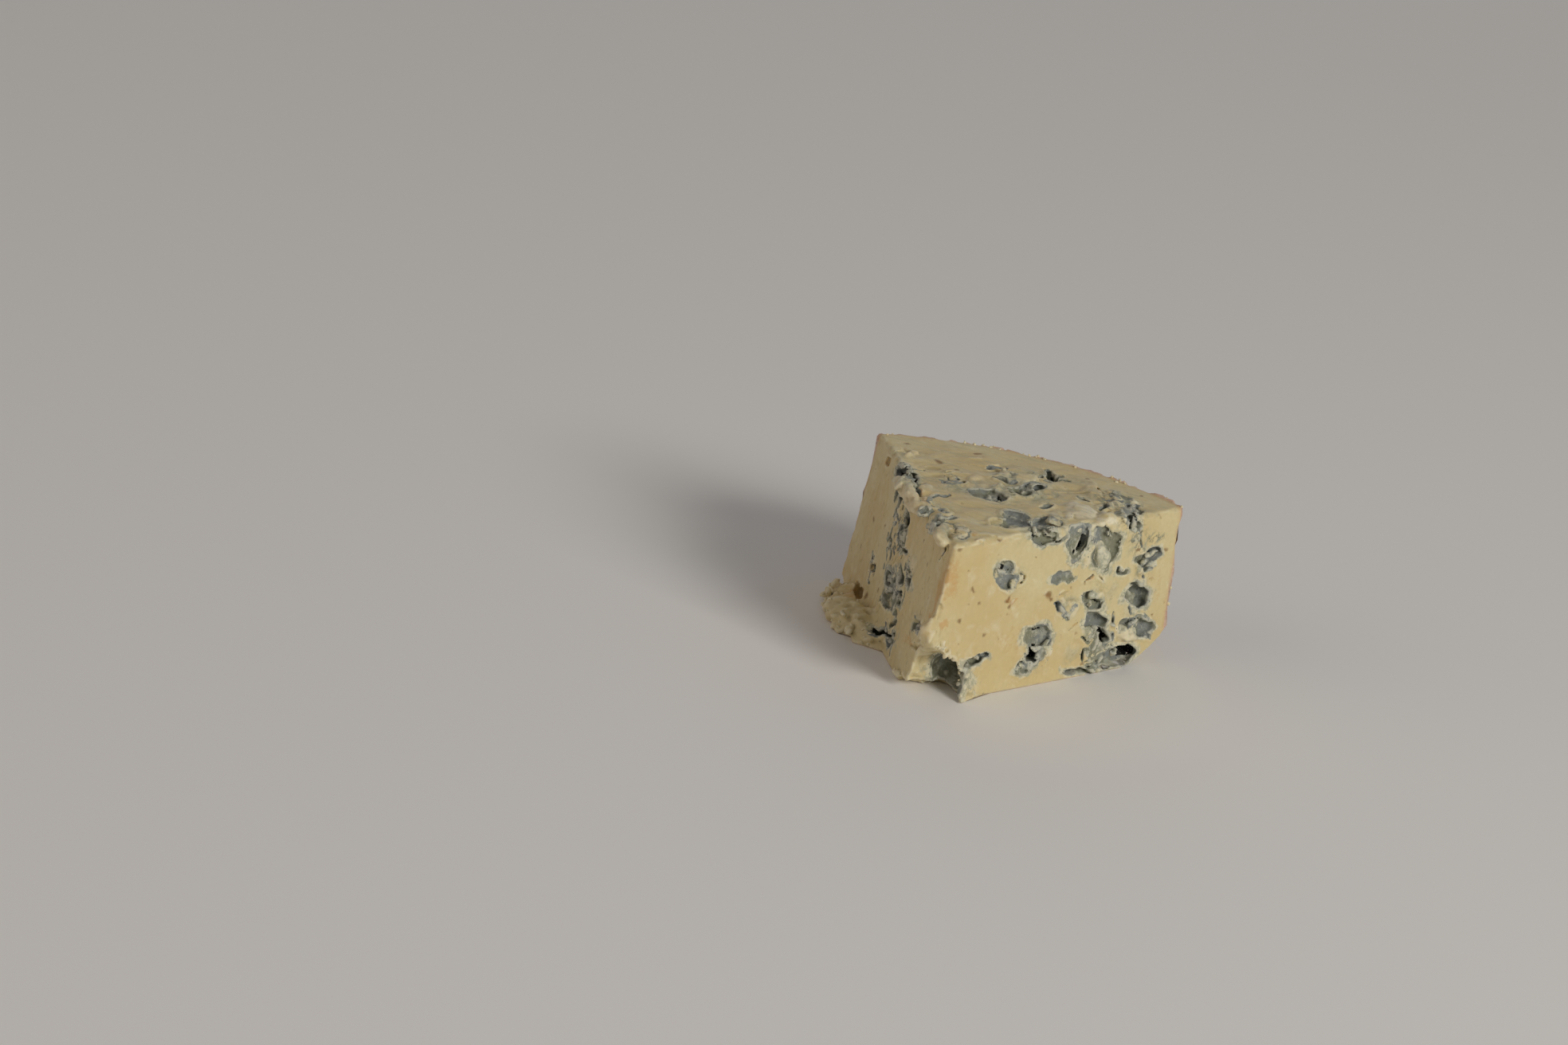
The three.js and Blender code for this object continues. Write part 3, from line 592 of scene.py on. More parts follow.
def lobe(face, row):
    along, across, half_long, half_wide, turn, half_thick, out, mould, pale = row
    radii = (half_long, half_wide, half_thick)
    return Lump(face, (along, across, out), radii, turn, mould, pale, LOBE_POWER)


def pit(face, row):
    along, across, half_long, half_wide, turn, depth = row
    radii = (half_long, half_wide, (1 - PIT_SINK) * depth)
    return Lump(face, (along, across, -PIT_SINK * depth), radii, turn, 1)


def pit_shade_form(face, row):
    """Where painted shade darkens a small deep hole: a slightly wider outline from the face to below
    its floor.
    """
    along, across, half_long, half_wide, turn, depth = row
    radii = (SHAFT_WIDTH * half_long, SHAFT_WIDTH * half_wide, depth)
    return Lump(face, (along, across, -depth), radii, turn, 1)


def patch(face, row):
    """A patch of colour: a lump that reaches well above and below the face."""
    along, across, half_long, half_wide, turn, strength = row
    return Lump(face, (along, across, 0), (half_long, half_wide, PATCH_REACH), turn, strength)


def speck(face, row):
    along, across, radius = row
    return Lump(face, (along, across, 0), (radius, radius, SPECK_REACH), mould=1)


def crowd(random, rows):
    """Random places on a face inside each crowd, with what the crowd's row says besides."""
    for along, across, half_long, half_wide, turn, count, *rest in rows:
        cosine, sine = math.cos(math.radians(turn)), math.sin(math.radians(turn))
        for _ in range(count):
            run, side = random.normal(0, CROWD_SPREAD, 2) * (half_long, half_wide)
            yield along + run * cosine - side * sine, across + run * sine + side * cosine, rest


def slits():
    """Fine dark slits, spread at random inside each crowd."""
    random = np.random.default_rng(23)
    for face, rows in SLIT_CROWDS.items():
        for along, across, (lean,) in crowd(random, rows):
            half_width = random.uniform(0.24, 0.44)
            half_slit = half_width * random.uniform(1.2, 4)
            depth = random.uniform(0.8, 1.7)
            middle = (along, across, -SLIT_SINK * depth)
            turn = lean + random.normal(0, SLIT_TURN_SPREAD)
            yield Lump(face, middle, (half_slit, half_width, depth), turn, 1)


def crowded_curds():
    """Small curds in and round the hollows, some pale and some mouldy."""
    random = np.random.default_rng(29)
    for face, rows in CURD_CROWDS.items():
        for along, across, (out,) in crowd(random, rows):
            radii = random.uniform(0.35, 0.95) * random.uniform(0.75, 1.3, 3)
            middle = (along, across, out + random.uniform(-0.3, 0.3))
            mouldy = random.random() < 0.5
            mould, pale = (random.uniform(0.5, 1), 0) if mouldy else (0.1, random.uniform(0.4, 1))
            yield Lump(face, middle, tuple(radii), random.uniform(0, 180), mould, pale)


def torn_curds():
    """Small lumps of torn paste, spread at random along the curd lines."""
    random = np.random.default_rng(17)
    for points, count, spread, largest in CURD_LINES:
        points = np.array(points, float)
        for _ in range(count):
            leg = random.integers(len(points) - 1)
            middle = points[leg] + random.random() * (points[leg + 1] - points[leg])
            middle = middle + random.normal(0, spread, 3)
            radii = random.uniform(0.35, largest) * random.uniform(0.7, 1.3, 3) * (1, 1, 0.7)
            middle[2] = max(middle[2], 0.4)
            yield Lump("space", tuple(middle), tuple(radii), random.uniform(0, 180), pale=0.5)


def in_space(row, mould=0):
    return Lump("space", row[:3], row[3:], mould=mould)


def on_faces(make, table):
    return [make(face, row) for face, rows in table.items() for row in rows]


hollows = on_faces(hollow, HOLLOWS) + [in_space(TIP_CAVITY, 1)]
lobes = on_faces(lobe, LOBES)
pits = on_faces(pit, PITS)
fine_slits = list(slits())
cracks = [Crack(face, *row) for face, rows in CRACKS.items() for row in rows]
small_curds = list(crowded_curds())
loose_curds = list(torn_curds())


# ---------------------------------------------------------------- the cheese as a distance field
def sector(place):
    return np.maximum(sides_out(place), np.maximum(place[2] - HEIGHT, base_out(place)))


def worn_edges(place):
    """The sharp edges cut back to an uneven narrow slope."""
    sides = [cut_out("right", place), cut_out("left", place), rind_out(place), place[2] - HEIGHT]
    wear = ripples(place, (0.3, 3.1, 61), (0.12, 1.1, 62), start=EDGE_WEAR)
    pairs = combinations(sides, 2)
    return np.maximum.reduce([(first + second) / math.sqrt(2) + wear for first, second in pairs])


def sunk_depth(place):
    """How deep a place lies under the plain cut faces, the top and the rind."""
    return -np.maximum(sides_out(place), place[2] - HEIGHT)


def top_relief(place):
    """Smeared swells drawn out along one direction, with thin scales here and there."""
    drawn = drawn_out(place)
    step = scales(drawn, (1.3, 6.4, 81), (0.35, 2.2, 82)) - 0.5
    scaly = smooth_step(-0.1, 0.5, ripple(place, 9, 89))
    radius = np.hypot(place[0], place[1] - WHEEL_CENTRE_Y)
    inner = 1 - 0.7 * smooth_step(55, 62, radius)
    swells = ripples(drawn, (0.24, 3.2, 84), (0.1, 1.4, 90), (0.04, 0.8, 83))
    return inner * (0.4 * scaly * step + swells)


def side_relief(place):
    """Faint waves and drag marks of the knife on the cut faces, deeper on the left one."""
    x, y, z = place
    step = scales([x, y, z / 3], (1.3, 4.4, 85), (0.4, 1.6, 86)) - 0.5
    drag = (0.03 + 0.2 * smooth_step(0.5, -0.5, x)) * step
    return ripples(place, (0.1, 7, 73), (0.05, 1.6, 74), start=drag)


def rind_relief(place):
    """Coarse grains of the dried rind."""
    grains = 0.42 * np.abs(ripple(place, 1.9, 87)) + 0.26 * np.abs(ripple(place, 0.9, 88))
    return grains + 0.3 * ripple(place, 6, 91) - 0.35


def curd_relief(place):
    """Round curds that show where the paste is torn or a hollow opened."""
    return 0.26 * np.abs(ripple(place, 2.3, 71)) + 0.14 * np.abs(ripple(place, 0.9, 72)) - 0.14


class Grid:
    """The block of cells that holds the cheese, in mm from the wheel's cut corner."""

    def __init__(self):
        low, high = (np.array(corner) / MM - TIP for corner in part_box("cheese_wedge"))
        self.low = low - MARGIN
        counts = np.ceil((high - low + 2 * MARGIN) / CELL).astype(int) + 1
        axes = [self.low[i] + CELL * np.arange(counts[i]) for i in range(3)]
        self.place = [a.astype(np.float32) for a in np.meshgrid(*axes, indexing="ij")]
        self.field = sector(self.place).astype(np.float32)
        self.rim = np.zeros_like(self.field)
        self.wear()

    def wear(self):
        band = np.abs(self.field) < EDGE_BAND
        worn = worn_edges([values[band] for values in self.place])
        self.field[band] = np.maximum(self.field[band], worn)

    def window(self, form):
        reach = form.reach + STRAY_REACH
        start = np.floor((form.centre - reach - self.low) / CELL).astype(int)
        stop = np.ceil((form.centre + reach - self.low) / CELL).astype(int)
        return tuple(slice(max(a, 0), max(b, 0)) for a, b in zip(start, stop))

    def cut(self, form):
        where = self.window(form)
        shape = form.distance([values[where] for values in self.place])
        self.field[where] = np.maximum(self.field[where], -shape)
        lip = np.exp(-((shape - LIP_OUT) / LIP_WIDTH) ** 2)
        self.rim[where] = np.maximum(self.rim[where], lip)

    def add(self, form, blend=0.5):
        """Joins a lump on, with a small fillet of about the blend's size."""
        where = self.window(form)
        shape = form.distance([values[where] for values in self.place])
        field = self.field[where]
        overlap = np.maximum(blend - np.abs(field - shape), 0) / blend
        self.field[where] = np.minimum(field, shape) - overlap ** 2 * blend / 4

    def roughen(self):
        """Gives each kind of surface its relief, leaving the base flat."""
        band = np.abs(self.field) < ROUGH_BAND
        place = [values[band] for values in self.place]
        depth = sunk_depth(place)
        open_face = 1 - smooth_step(0.35, 1.1, depth)
        proud = smooth_step(0.4, 1.0, -depth)
        torn = np.clip(1 - open_face + proud, 0, 1)
        top = smooth_step(-1.3, -0.5, place[2] - HEIGHT) * (1 - torn)
        rind = smooth_step(-1.1, -0.5, rind_out(place)) * (1 - torn)
        sides = np.clip(1 - torn - top - rind, 0, 1)
        lips = self.rim[band] * (1 - torn) * (0.5 + 0.5 * ripple(place, 2.6, 75))
        relief = torn * curd_relief(place) + top * top_relief(place) + rind * rind_relief(place)
        relief = relief + sides * side_relief(place) + 0.4 * lips
        self.field[band] -= relief * smooth_step(0.15, 1.1, place[2])
        self.field = np.maximum(self.field, -self.place[2])

    def creases(self, place):
        """How sunk between its surroundings a place on the surface is: below 0 on ridges."""
        near = np.clip(self.field, -CREASE_BAND, CREASE_BAND)
        for axis in (0, 1, 2) * 2:
            near = (np.roll(near, 1, axis) + near + np.roll(near, -1, axis)) / 3
        spot = [(values - low) / CELL for values, low in zip(place, self.low)]
        corner = [np.clip(np.floor(s).astype(int), 0, n - 2) for s, n in zip(spot, near.shape)]
        level = between(near, corner, [s - c for s, c in zip(spot, corner)])
        return -level / FULL_CREASE


# ---------------------------------------------------------------- field to mesh
def surface_net(field):
    """Vertices and quads of the zero level, one vertex in each cell that the level crosses."""
    inside = field < 0
    size = np.array(field.shape) - 1

    def corner(values, step):
        return values[tuple(slice(step[i], size[i] + step[i]) for i in range(3))]

    steps = list(product((0, 1), repeat=3))
    full = sum(corner(inside, step).astype(np.int8) for step in steps)
    crossed = (full > 0) & (full < 8)
    number = np.full(crossed.shape, -1, np.int64)
    cells = np.argwhere(crossed)
    number[crossed] = np.arange(len(cells))
    total = np.zeros((len(cells), 3))
    hits = np.zeros(len(cells))
    for step in steps:
        for axis in range(3):
            if step[axis]:
                continue
            start = cells + np.array(step)
            stop = start.copy()
            stop[:, axis] += 1
            a = field[tuple(start.T)]
            b = field[tuple(stop.T)]
            cross = (a < 0) != (b < 0)
            point = np.array(step, float) + np.zeros((len(cells), 3))
            point[:, axis] += a / np.where(cross, a - b, 1)
            total[cross] += point[cross]
            hits[cross] += 1
    vertices = cells + total / hits[:, None]
    quads = []
    for axis in range(3):
        first, second = (axis + 1) % 3, (axis + 2) % 3
        low = [slice(None)] * 3
        high = [slice(None)] * 3
        low[axis], high[axis] = slice(0, -1), slice(1, None)
        a, b = inside[tuple(low)], inside[tuple(high)]
        for entering in (False, True):
            edges = np.argwhere((a != b) & (a == entering))
            keep = (edges[:, first] > 0) & (edges[:, second] > 0)
            keep &= (edges[:, first] < size[first]) & (edges[:, second] < size[second])
            edges = edges[keep]
            ring = []
            for back in ((1, 1), (0, 1), (0, 0), (1, 0)):
                cell = edges.copy()
                cell[:, first] -= back[0]
                cell[:, second] -= back[1]
                ring.append(number[tuple(cell.T)])
            ring = np.stack(ring, 1)
            quads.append(ring if entering else ring[:, ::-1])
    return vertices, np.concatenate(quads)


def largest_part(vertices, quads):
    """Leaves out loose scraps: labels spread along the edges until they settle."""
    label = np.arange(len(vertices))
    while True:
        lowest = label[quads].min(1)
        spread = label.copy()
        for column in range(4):
            np.minimum.at(spread, quads[:, column], lowest)
        spread = spread[spread]
        if (spread == label).all():
            break
        label = spread
    main = np.bincount(label).argmax()
    keep = label == main
    renumber = np.cumsum(keep) - 1
    return vertices[keep], renumber[quads[keep[quads[:, 0]]]]


def add_object(name, data):
    item = bpy.data.objects.new(name, data)
    bpy.context.scene.collection.objects.link(item)
    return item


def new_piece(name, vertices, faces, smooth=True):
    mesh = bpy.data.meshes.new(name)
    mesh.from_pydata(vertices.tolist(), [], faces.tolist())
    mesh.update()
    if smooth:
        mesh.shade_smooth()
    return add_object(name, mesh)


def bake(piece):
    """Turns the piece's modifiers into plain mesh."""
    finished = piece.evaluated_get(bpy.context.evaluated_depsgraph_get())
    mesh = bpy.data.meshes.new_from_object(finished)
    piece.modifiers.clear()
    piece.data = mesh
    mesh.name = piece.name


def vertex_spots(piece):
    flat = np.empty(3 * len(piece.data.vertices), np.float32)
    piece.data.vertices.foreach_get("co", flat)
    return flat.reshape(-1, 3)


def vertex_places(piece):
    return list((vertex_spots(piece) / MM - TIP).T)


def thin_hidden_sides(piece):
    """Spends fewer triangles on the base and the rind than on the cut faces."""
    place = vertex_places(piece)
    group = piece.vertex_groups.new(name="hidden")
    hidden = (rind_out(place) > -1.2) & (place[2] < HEIGHT - 1.5)
    hidden |= place[2] < BASE_SKIN
    group.add(np.flatnonzero(hidden).tolist(), 1.0, "REPLACE")
    group.add(np.flatnonzero(~hidden).tolist(), SEEN_WEIGHT, "REPLACE")
    thin = piece.modifiers.new("thin", "DECIMATE")
    thin.ratio = min(1, MOST_TRIANGLES / (2 * len(piece.data.polygons)))
    thin.vertex_group = "hidden"
    thin.vertex_group_factor = 1.0
    bake(piece)
    piece.vertex_groups.clear()
    spots = vertex_spots(piece)
    spots[:, 2] = np.maximum(spots[:, 2], 0)  # thinning can leave a vertex just under the floor
    piece.data.vertices.foreach_set("co", spots.ravel())
    piece.data.update()


def store(piece, name, values):
    layer = piece.data.attributes.new(name, "FLOAT", "POINT")
    layer.data.foreach_set("value", values.astype(np.float32))


def shares(forms, place, inner, outer):
    """For each form the places near it and their share of it: all inside `inner`, none past `outer`."""
    for form in forms:
        reach = form.reach * outer + MASK_REACH
        gaps = [np.abs(values - middle) for values, middle in zip(place, form.centre)]
        close = np.maximum.reduce(gaps) < reach
        share = 1 - smooth_step(inner, outer, form.nearness([values[close] for values in place]))
        yield form, close, share


def strongest(forms, place, inner, outer):
    """For each place the most mould that one of the forms gives it."""
    most = np.zeros(len(place[0]), np.float32)
    for form, close, share in shares(forms, place, inner, outer):
        most[close] = np.maximum(most[close], form.mould * share)
    return most


def store_masks(piece, grid):
    """Where the mould, its pale halo, the painted shade of deep holes and slits, the marbling, the
    ochre and the rind are, and how sunk each place is, for the painted shade in creases.
    """
    place = vertex_places(piece)
    depth = sunk_depth(place)
    mould = strongest([*hollows, *pits], place, 0.95, 1.3)
    pale = np.zeros_like(mould)
    for form, close, share in shares([*lobes, *small_curds, *loose_curds], place, 0.95, 1.25):
        mould[close] += share * (form.mould - mould[close])
        pale[close] += share * (form.pale - pale[close])
    mould = np.maximum(mould, strongest([*cracks, *fine_slits], place, 1.0, 2.0))
    # Painted shade: deep pits and the deep floors of cracks and slits are given a near-black colour.
    pit_shade = strongest(on_faces(pit_shade_form, PITS), place, 0.9, 1.25) * smooth_step(0.8, 1.6, depth)
    slit_floor_shade = strongest([*cracks, *fine_slits], place, 0.7, 1.3) * smooth_step(0.4, 1.0, depth)
    masks = {
        "mould": mould,
        "halo": strongest(hollows, place, 1.0, 1.9),
        "dark": np.maximum(pit_shade, 0.9 * slit_floor_shade),
        "pale": pale,
        "marbling": strongest(on_faces(patch, MARBLING), place, 0.2, 1.1),
        "warm": strongest(on_faces(patch, WARM), place, 0.2, 1.1),
        "speck": strongest(on_faces(speck, SPECKS), place, 0.6, 1.3),
        "rind": np.clip(rind_out(place), -9, 3),
        "height": place[2],
        # How sunk each place is, which the materials turn into painted shade in creases and paler
        # ridges.
        "crease": np.clip(grid.creases(place), -1, 1),
    }
    for name, values in masks.items():
        store(piece, name, values)


def cheese():
    grid = Grid()
    for row in LEDGE:
        grid.add(in_space(row), LEDGE_BLEND)
    grid.add(in_space(TORN_LIP), TORN_LIP_BLEND)
    for row in BREAKS:
        grid.cut(in_space(row))
    for form in (*hollows, *pits):
        grid.cut(form)
    for form in (*lobes, in_space(TONGUE)):
        grid.add(form)
    for form in (*cracks, *fine_slits):
        grid.cut(form)
    for form in (*small_curds, *loose_curds):
        grid.add(form, 0.2)
    grid.roughen()
    vertices, quads = largest_part(*surface_net(grid.field))
    piece = new_piece("blue_cheese", (grid.low + vertices * CELL + TIP) * MM, quads)
    thin_hidden_sides(piece)
    store_masks(piece, grid)
    piece.data.materials.append(cheese_material())
    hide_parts("cheese_wedge")
    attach(piece, "root")
    return piece


# ---------------------------------------------------------------- materials
def srgb(red, green, blue):
    """A colour given in 0 to 255 display values, as the shader's linear colour."""
    linear = []
    for value in (red, green, blue):
        share = value / 255
        linear.append(share / 12.92 if share <= 0.04045 else ((share + 0.055) / 1.055) ** 2.4)
    return (*linear, 1)


class Nodes:
    """Short calls for a node tree."""

    def __init__(self, tree):
        self.tree = tree

    def put(self, socket, value):
        if isinstance(value, bpy.types.NodeSocket):
            self.tree.links.new(value, socket)
        else:
            socket.default_value = value

    def add(self, kind, settings=None, **inputs):
        node = self.tree.nodes.new(kind)
        for key, value in (settings or {}).items():
            setattr(node, key, value)
        for key, value in inputs.items():
            self.put(node.inputs[key.replace("_", " ")], value)
        return node

    def math(self, operation, a, b=0.0):
        node = self.add("ShaderNodeMath", {"operation": operation})
        self.put(node.inputs[0], a)
        self.put(node.inputs[1], b)
        return node.outputs[0]

    def times(self, a, b):
        return self.math("MULTIPLY", a, b)

    def plus(self, a, b):
        return self.math("ADD", a, b)

    def range(self, value, low, high, to_low=0.0, to_high=1.0):
        node = self.add("ShaderNodeMapRange", {"interpolation_type": "SMOOTHSTEP"}, Value=value)
        ends = {"From Min": low, "From Max": high, "To Min": to_low, "To Max": to_high}
        for key, end in ends.items():
            self.put(node.inputs[key], end)
        return node.outputs["Result"]

    def blend(self, share, a, b):
        node = self.add("ShaderNodeMix", {"data_type": "RGBA"})
        factor, first, second = node.inputs[0], node.inputs[6], node.inputs[7]
        self.put(factor, share)
        self.put(first, a)
        self.put(second, b)
        return node.outputs[2]

    def noise(self, place, scale, detail=3.0, rough=0.55, distort=0.0):
        node = self.add("ShaderNodeTexNoise", Vector=place, Scale=scale, Detail=detail)
        self.put(node.inputs["Roughness"], rough)
        self.put(node.inputs["Distortion"], distort)
        return node.outputs["Fac"]

    def layer(self, name):
        return self.add("ShaderNodeAttribute", {"attribute_name": name}).outputs["Fac"]

    def frayed(self, mask, noise, amount=1.0):
        """A mask moved up and down by a noise."""
        return self.plus(mask, self.times(self.math("SUBTRACT", noise, 0.5), amount))

    def ragged(self, mask, noise, amount, low=0.4, high=0.6):
        """A soft mask turned into one with a crisp, ragged edge."""
        return self.range(self.frayed(mask, noise, amount), low, high)

    def coats(self, colour, *coats):
        """Thin coats over a colour: a value, its ends at no and at full cover, that cover, the tint."""
        for value, low, high, cover, tint in coats:
            colour = self.blend(self.range(value, low, high, 0, cover), colour, srgb(*tint))
        return colour


def new_group(name, inputs, outputs):
    """An empty node group with its sockets, and the nodes that its inputs and outputs are."""
    tree = bpy.data.node_groups.new(name, "ShaderNodeTree")
    for key, kind in inputs:
        tree.interface.new_socket(name=key, in_out="INPUT", socket_type=kind)
    for key, kind in outputs:
        tree.interface.new_socket(name=key, in_out="OUTPUT", socket_type=kind)
    return Nodes(tree), tree.nodes.new("NodeGroupInput"), tree.nodes.new("NodeGroupOutput")


def paste_group():
    """The cream paste: warm and pale clouds, fine grain, and tiny brown pores."""
    n, given, out = new_group(
        "cream_paste",
        [("Place", "NodeSocketVector"), ("Paleness", "NodeSocketFloat")],
        [("Colour", "NodeSocketColor"), ("Height", "NodeSocketFloat")],
    )
    place = given.outputs["Place"]
    cloud = n.noise(place, 55, 3)
    wash = n.noise(place, 230, 4, 0.6, 0.4)
    grain = n.noise(place, 900, 4, 0.65)
    pore = n.noise(place, 420, 2, 0.4)
    colour = n.coats(
        n.blend(n.range(cloud, 0.36, 0.64), srgb(216, 201, 153), srgb(211, 189, 136)),
        (wash, 0.5, 0.75, 0.6, (228, 218, 182)),
        (grain, 0.3, 0.7, 0.25, (196, 178, 128)),
        (pore, 0.71, 0.76, 0.5, (166, 132, 84)),
    )
    colour = n.blend(given.outputs["Paleness"], colour, srgb(238, 230, 202))
    n.put(out.inputs["Colour"], colour)
    n.put(out.inputs["Height"], n.plus(n.times(grain, 0.7), n.times(wash, 0.5)))
    return n.tree


def mould_group():
    """Grey mould, bluer here and greener there, with painted shade in its creases and paler on its
    ridges.
    """
    n, given, out = new_group(
        "grey_green_mould",
        [("Place", "NodeSocketVector"), ("Crease", "NodeSocketFloat")],
        [("Colour", "NodeSocketColor"), ("Height", "NodeSocketFloat")],
    )
    place = given.outputs["Place"]
    region = n.noise(place, 130, 2, 0.5)
    cloud = n.noise(place, 330, 4, 0.6, 0.6)
    velvet = n.noise(place, 1500, 3, 0.7)
    spores = n.noise(place, 560, 4, 0.62, 0.5)
    crease = n.frayed(given.outputs["Crease"], cloud)
    # The last two coats follow the creases: paler on ridges, and painted shade darkening the creases.
    colour = n.coats(
        n.blend(n.range(region, 0.42, 0.58), srgb(134, 138, 132), srgb(136, 136, 113)),
        (cloud, 0.52, 0.66, 0.75, (180, 180, 162)),
        (spores, 0.58, 0.7, 0.5, (104, 106, 92)),
        (velvet, 0.56, 0.7, 0.35, (202, 202, 186)),
        (crease, -0.15, -0.7, 0.7, (212, 209, 188)),
        (crease, 0.45, 1.0, 0.55, (78, 80, 68)),
    )
    n.put(out.inputs["Colour"], colour)
    n.put(out.inputs["Height"], n.plus(velvet, n.times(spores, 0.6)))
    return n.tree


def placed(n, group, place, **values):
    node = n.add("ShaderNodeGroup", {"node_tree": group}, Place=place, **values)
    return node.outputs["Colour"], node.outputs["Height"]


def new_material(name):
    material = bpy.data.materials.new(name)
    material.use_nodes = True
    material.node_tree.nodes.clear()
    n = Nodes(material.node_tree)
    shader = n.add("ShaderNodeBsdfPrincipled")
    shader.inputs["Subsurface Weight"].default_value = 0.18
    shader.inputs["Subsurface Radius"].default_value = (1.0, 0.7, 0.35)
    shader.inputs["Subsurface Scale"].default_value = 0.0015
    shader.inputs["Specular IOR Level"].default_value = 0.4
    out = n.add("ShaderNodeOutputMaterial")
    n.put(out.inputs["Surface"], shader.outputs["BSDF"])
    return material, n, shader


def finish_surface(n, shader, colour, roughness, height):
    n.put(shader.inputs["Base Color"], colour)
    n.put(shader.inputs["Roughness"], roughness)
    bump = n.add("ShaderNodeBump", Height=height, Strength=0.8, Distance=BUMP_HEIGHT)
    n.put(shader.inputs["Normal"], bump.outputs["Normal"])


def stained_paste(n, place, paste, edge, blotch, crease):
    """The paste with its ochre, smears on the top, painted shade in its creases and paler ridges, pale
    rims, marbling and brown specks.
    """
    warm = n.times(n.ragged(n.layer("warm"), edge, 1.1, 0.3, 0.8), 0.55)
    colour = n.blend(warm, paste, srgb(202, 152, 86))
    drag = n.add("ShaderNodeMapping", Vector=place)
    drag.inputs["Rotation"].default_value = (0, 0, -math.atan2(TOP_GRAIN[1], TOP_GRAIN[0]))
    drag.inputs["Scale"].default_value = (0.22, 1, 1)
    smear = n.range(n.noise(drag.outputs["Vector"], 620, 4, 0.6), 0.5, 0.68)
    on_top = n.range(n.layer("height"), *TOP_EDGE)
    colour = n.blend(n.times(n.times(on_top, smear), 0.45), colour, srgb(176, 172, 138))
    # Painted shade darkens the creases, and ridges come out paler.
    colour = n.coats(
        colour,
        (crease, 0.12, 0.7, 0.55, (168, 150, 104)),
        (crease, -0.15, -0.8, 0.4, (236, 229, 200)),
    )
    halo = n.ragged(n.layer("halo"), blotch, 1.7, 0.35, 0.75)
    around = n.blend(n.range(edge, 0.44, 0.58), srgb(214, 209, 182), srgb(164, 167, 146))
    colour = n.blend(n.times(halo, n.range(on_top, 0, 1, 0.75, 0.45)), colour, around)
    colour = marbled(n, place, colour, edge)
    return n.blend(n.times(n.layer("speck"), 0.8), colour, srgb(128, 92, 50))


def marbled(n, place, colour, edge):
    """Smudges and thin lines of grey green where mould marbles the paste."""
    marbling = n.layer("marbling")
    smudge = n.range(n.noise(place, 190, 5, 0.65, 0.8), 0.47, 0.6)
    stain = n.blend(n.range(edge, 0.42, 0.6), srgb(176, 180, 158), srgb(138, 143, 122))
    colour = n.blend(n.times(marbling, n.times(smudge, 0.8)), colour, stain)
    veins = n.noise(place, 260, 5, 0.62, 1.2)
    thread = n.range(n.math("ABSOLUTE", n.math("SUBTRACT", veins, 0.5)), 0, 0.045, 1, 0)
    lines = n.times(n.times(n.math("POWER", marbling, 2.5), thread), 0.85)
    return n.blend(lines, colour, srgb(100, 106, 92))


def with_rind(n, place, colour, edge, crease):
    """The dried crust on the rind and faintly on the base, with painted shade in its creases, and the
    darker paste just inside it.
    """
    rind = n.layer("rind")
    colour = n.coats(colour, (n.frayed(rind, edge, 1.6), -2.2, -0.6, 0.55, (202, 160, 116)))
    cloud = n.range(n.noise(place, 160, 5, 0.7), 0.4, 0.62)
    # The crust's last coat is painted shade in its creases.
    crust = n.coats(
        n.blend(cloud, srgb(222, 188, 162), srgb(196, 162, 138)),
        (n.noise(place, 420, 4, 0.6), 0.56, 0.66, 0.8, (226, 212, 190)),
        (n.noise(place, 760, 4, 0.6), 0.58, 0.7, 0.7, (134, 112, 96)),
        (crease, 0.15, 0.7, 0.7, (142, 110, 88)),
    )
    colour = n.blend(n.range(rind, -1.2, -0.7), colour, crust)
    return n.blend(n.times(n.range(n.layer("height"), 0.3, 0.02), 0.7), colour, crust)


def cheese_material():
    material, n, shader = new_material("veined_paste")
    place = n.add("ShaderNodeTexCoord").outputs["Object"]
    crease = n.layer("crease")
    edge = n.noise(place, 900, 4, 0.65)
    blotch = n.noise(place, 300, 4, 0.6, 0.5)
    paste, paste_height = placed(n, cream, place, Paleness=n.times(n.layer("pale"), 0.85))
    mould, mould_height = placed(n, green, place, Crease=crease)
    colour = stained_paste(n, place, paste, edge, blotch, crease)
    colour = with_rind(n, place, colour, edge, crease)
    mask = n.ragged(n.frayed(n.layer("mould"), blotch, 1.1), edge, 0.5)
    colour = n.blend(mask, colour, mould)
    # Painted shade: near black in deep pits and on the floors of cracks and slits.
    colour = n.blend(n.ragged(n.layer("dark"), edge, 0.5), colour, srgb(25, 25, 20))
    roughness = n.plus(n.range(mask, 0, 1, 0.46, 0.8), n.times(edge, 0.12))
    height = n.plus(paste_height, n.times(mask, mould_height))
    finish_surface(n, shader, colour, roughness, height)
    return material


def plain_material(name, group, roughness, **values):
    material, n, shader = new_material(name)
    place = n.add("ShaderNodeTexCoord").outputs["Object"]
    colour, height = placed(n, group, place, **values)
    finish_surface(n, shader, colour, roughness, height)
    return material


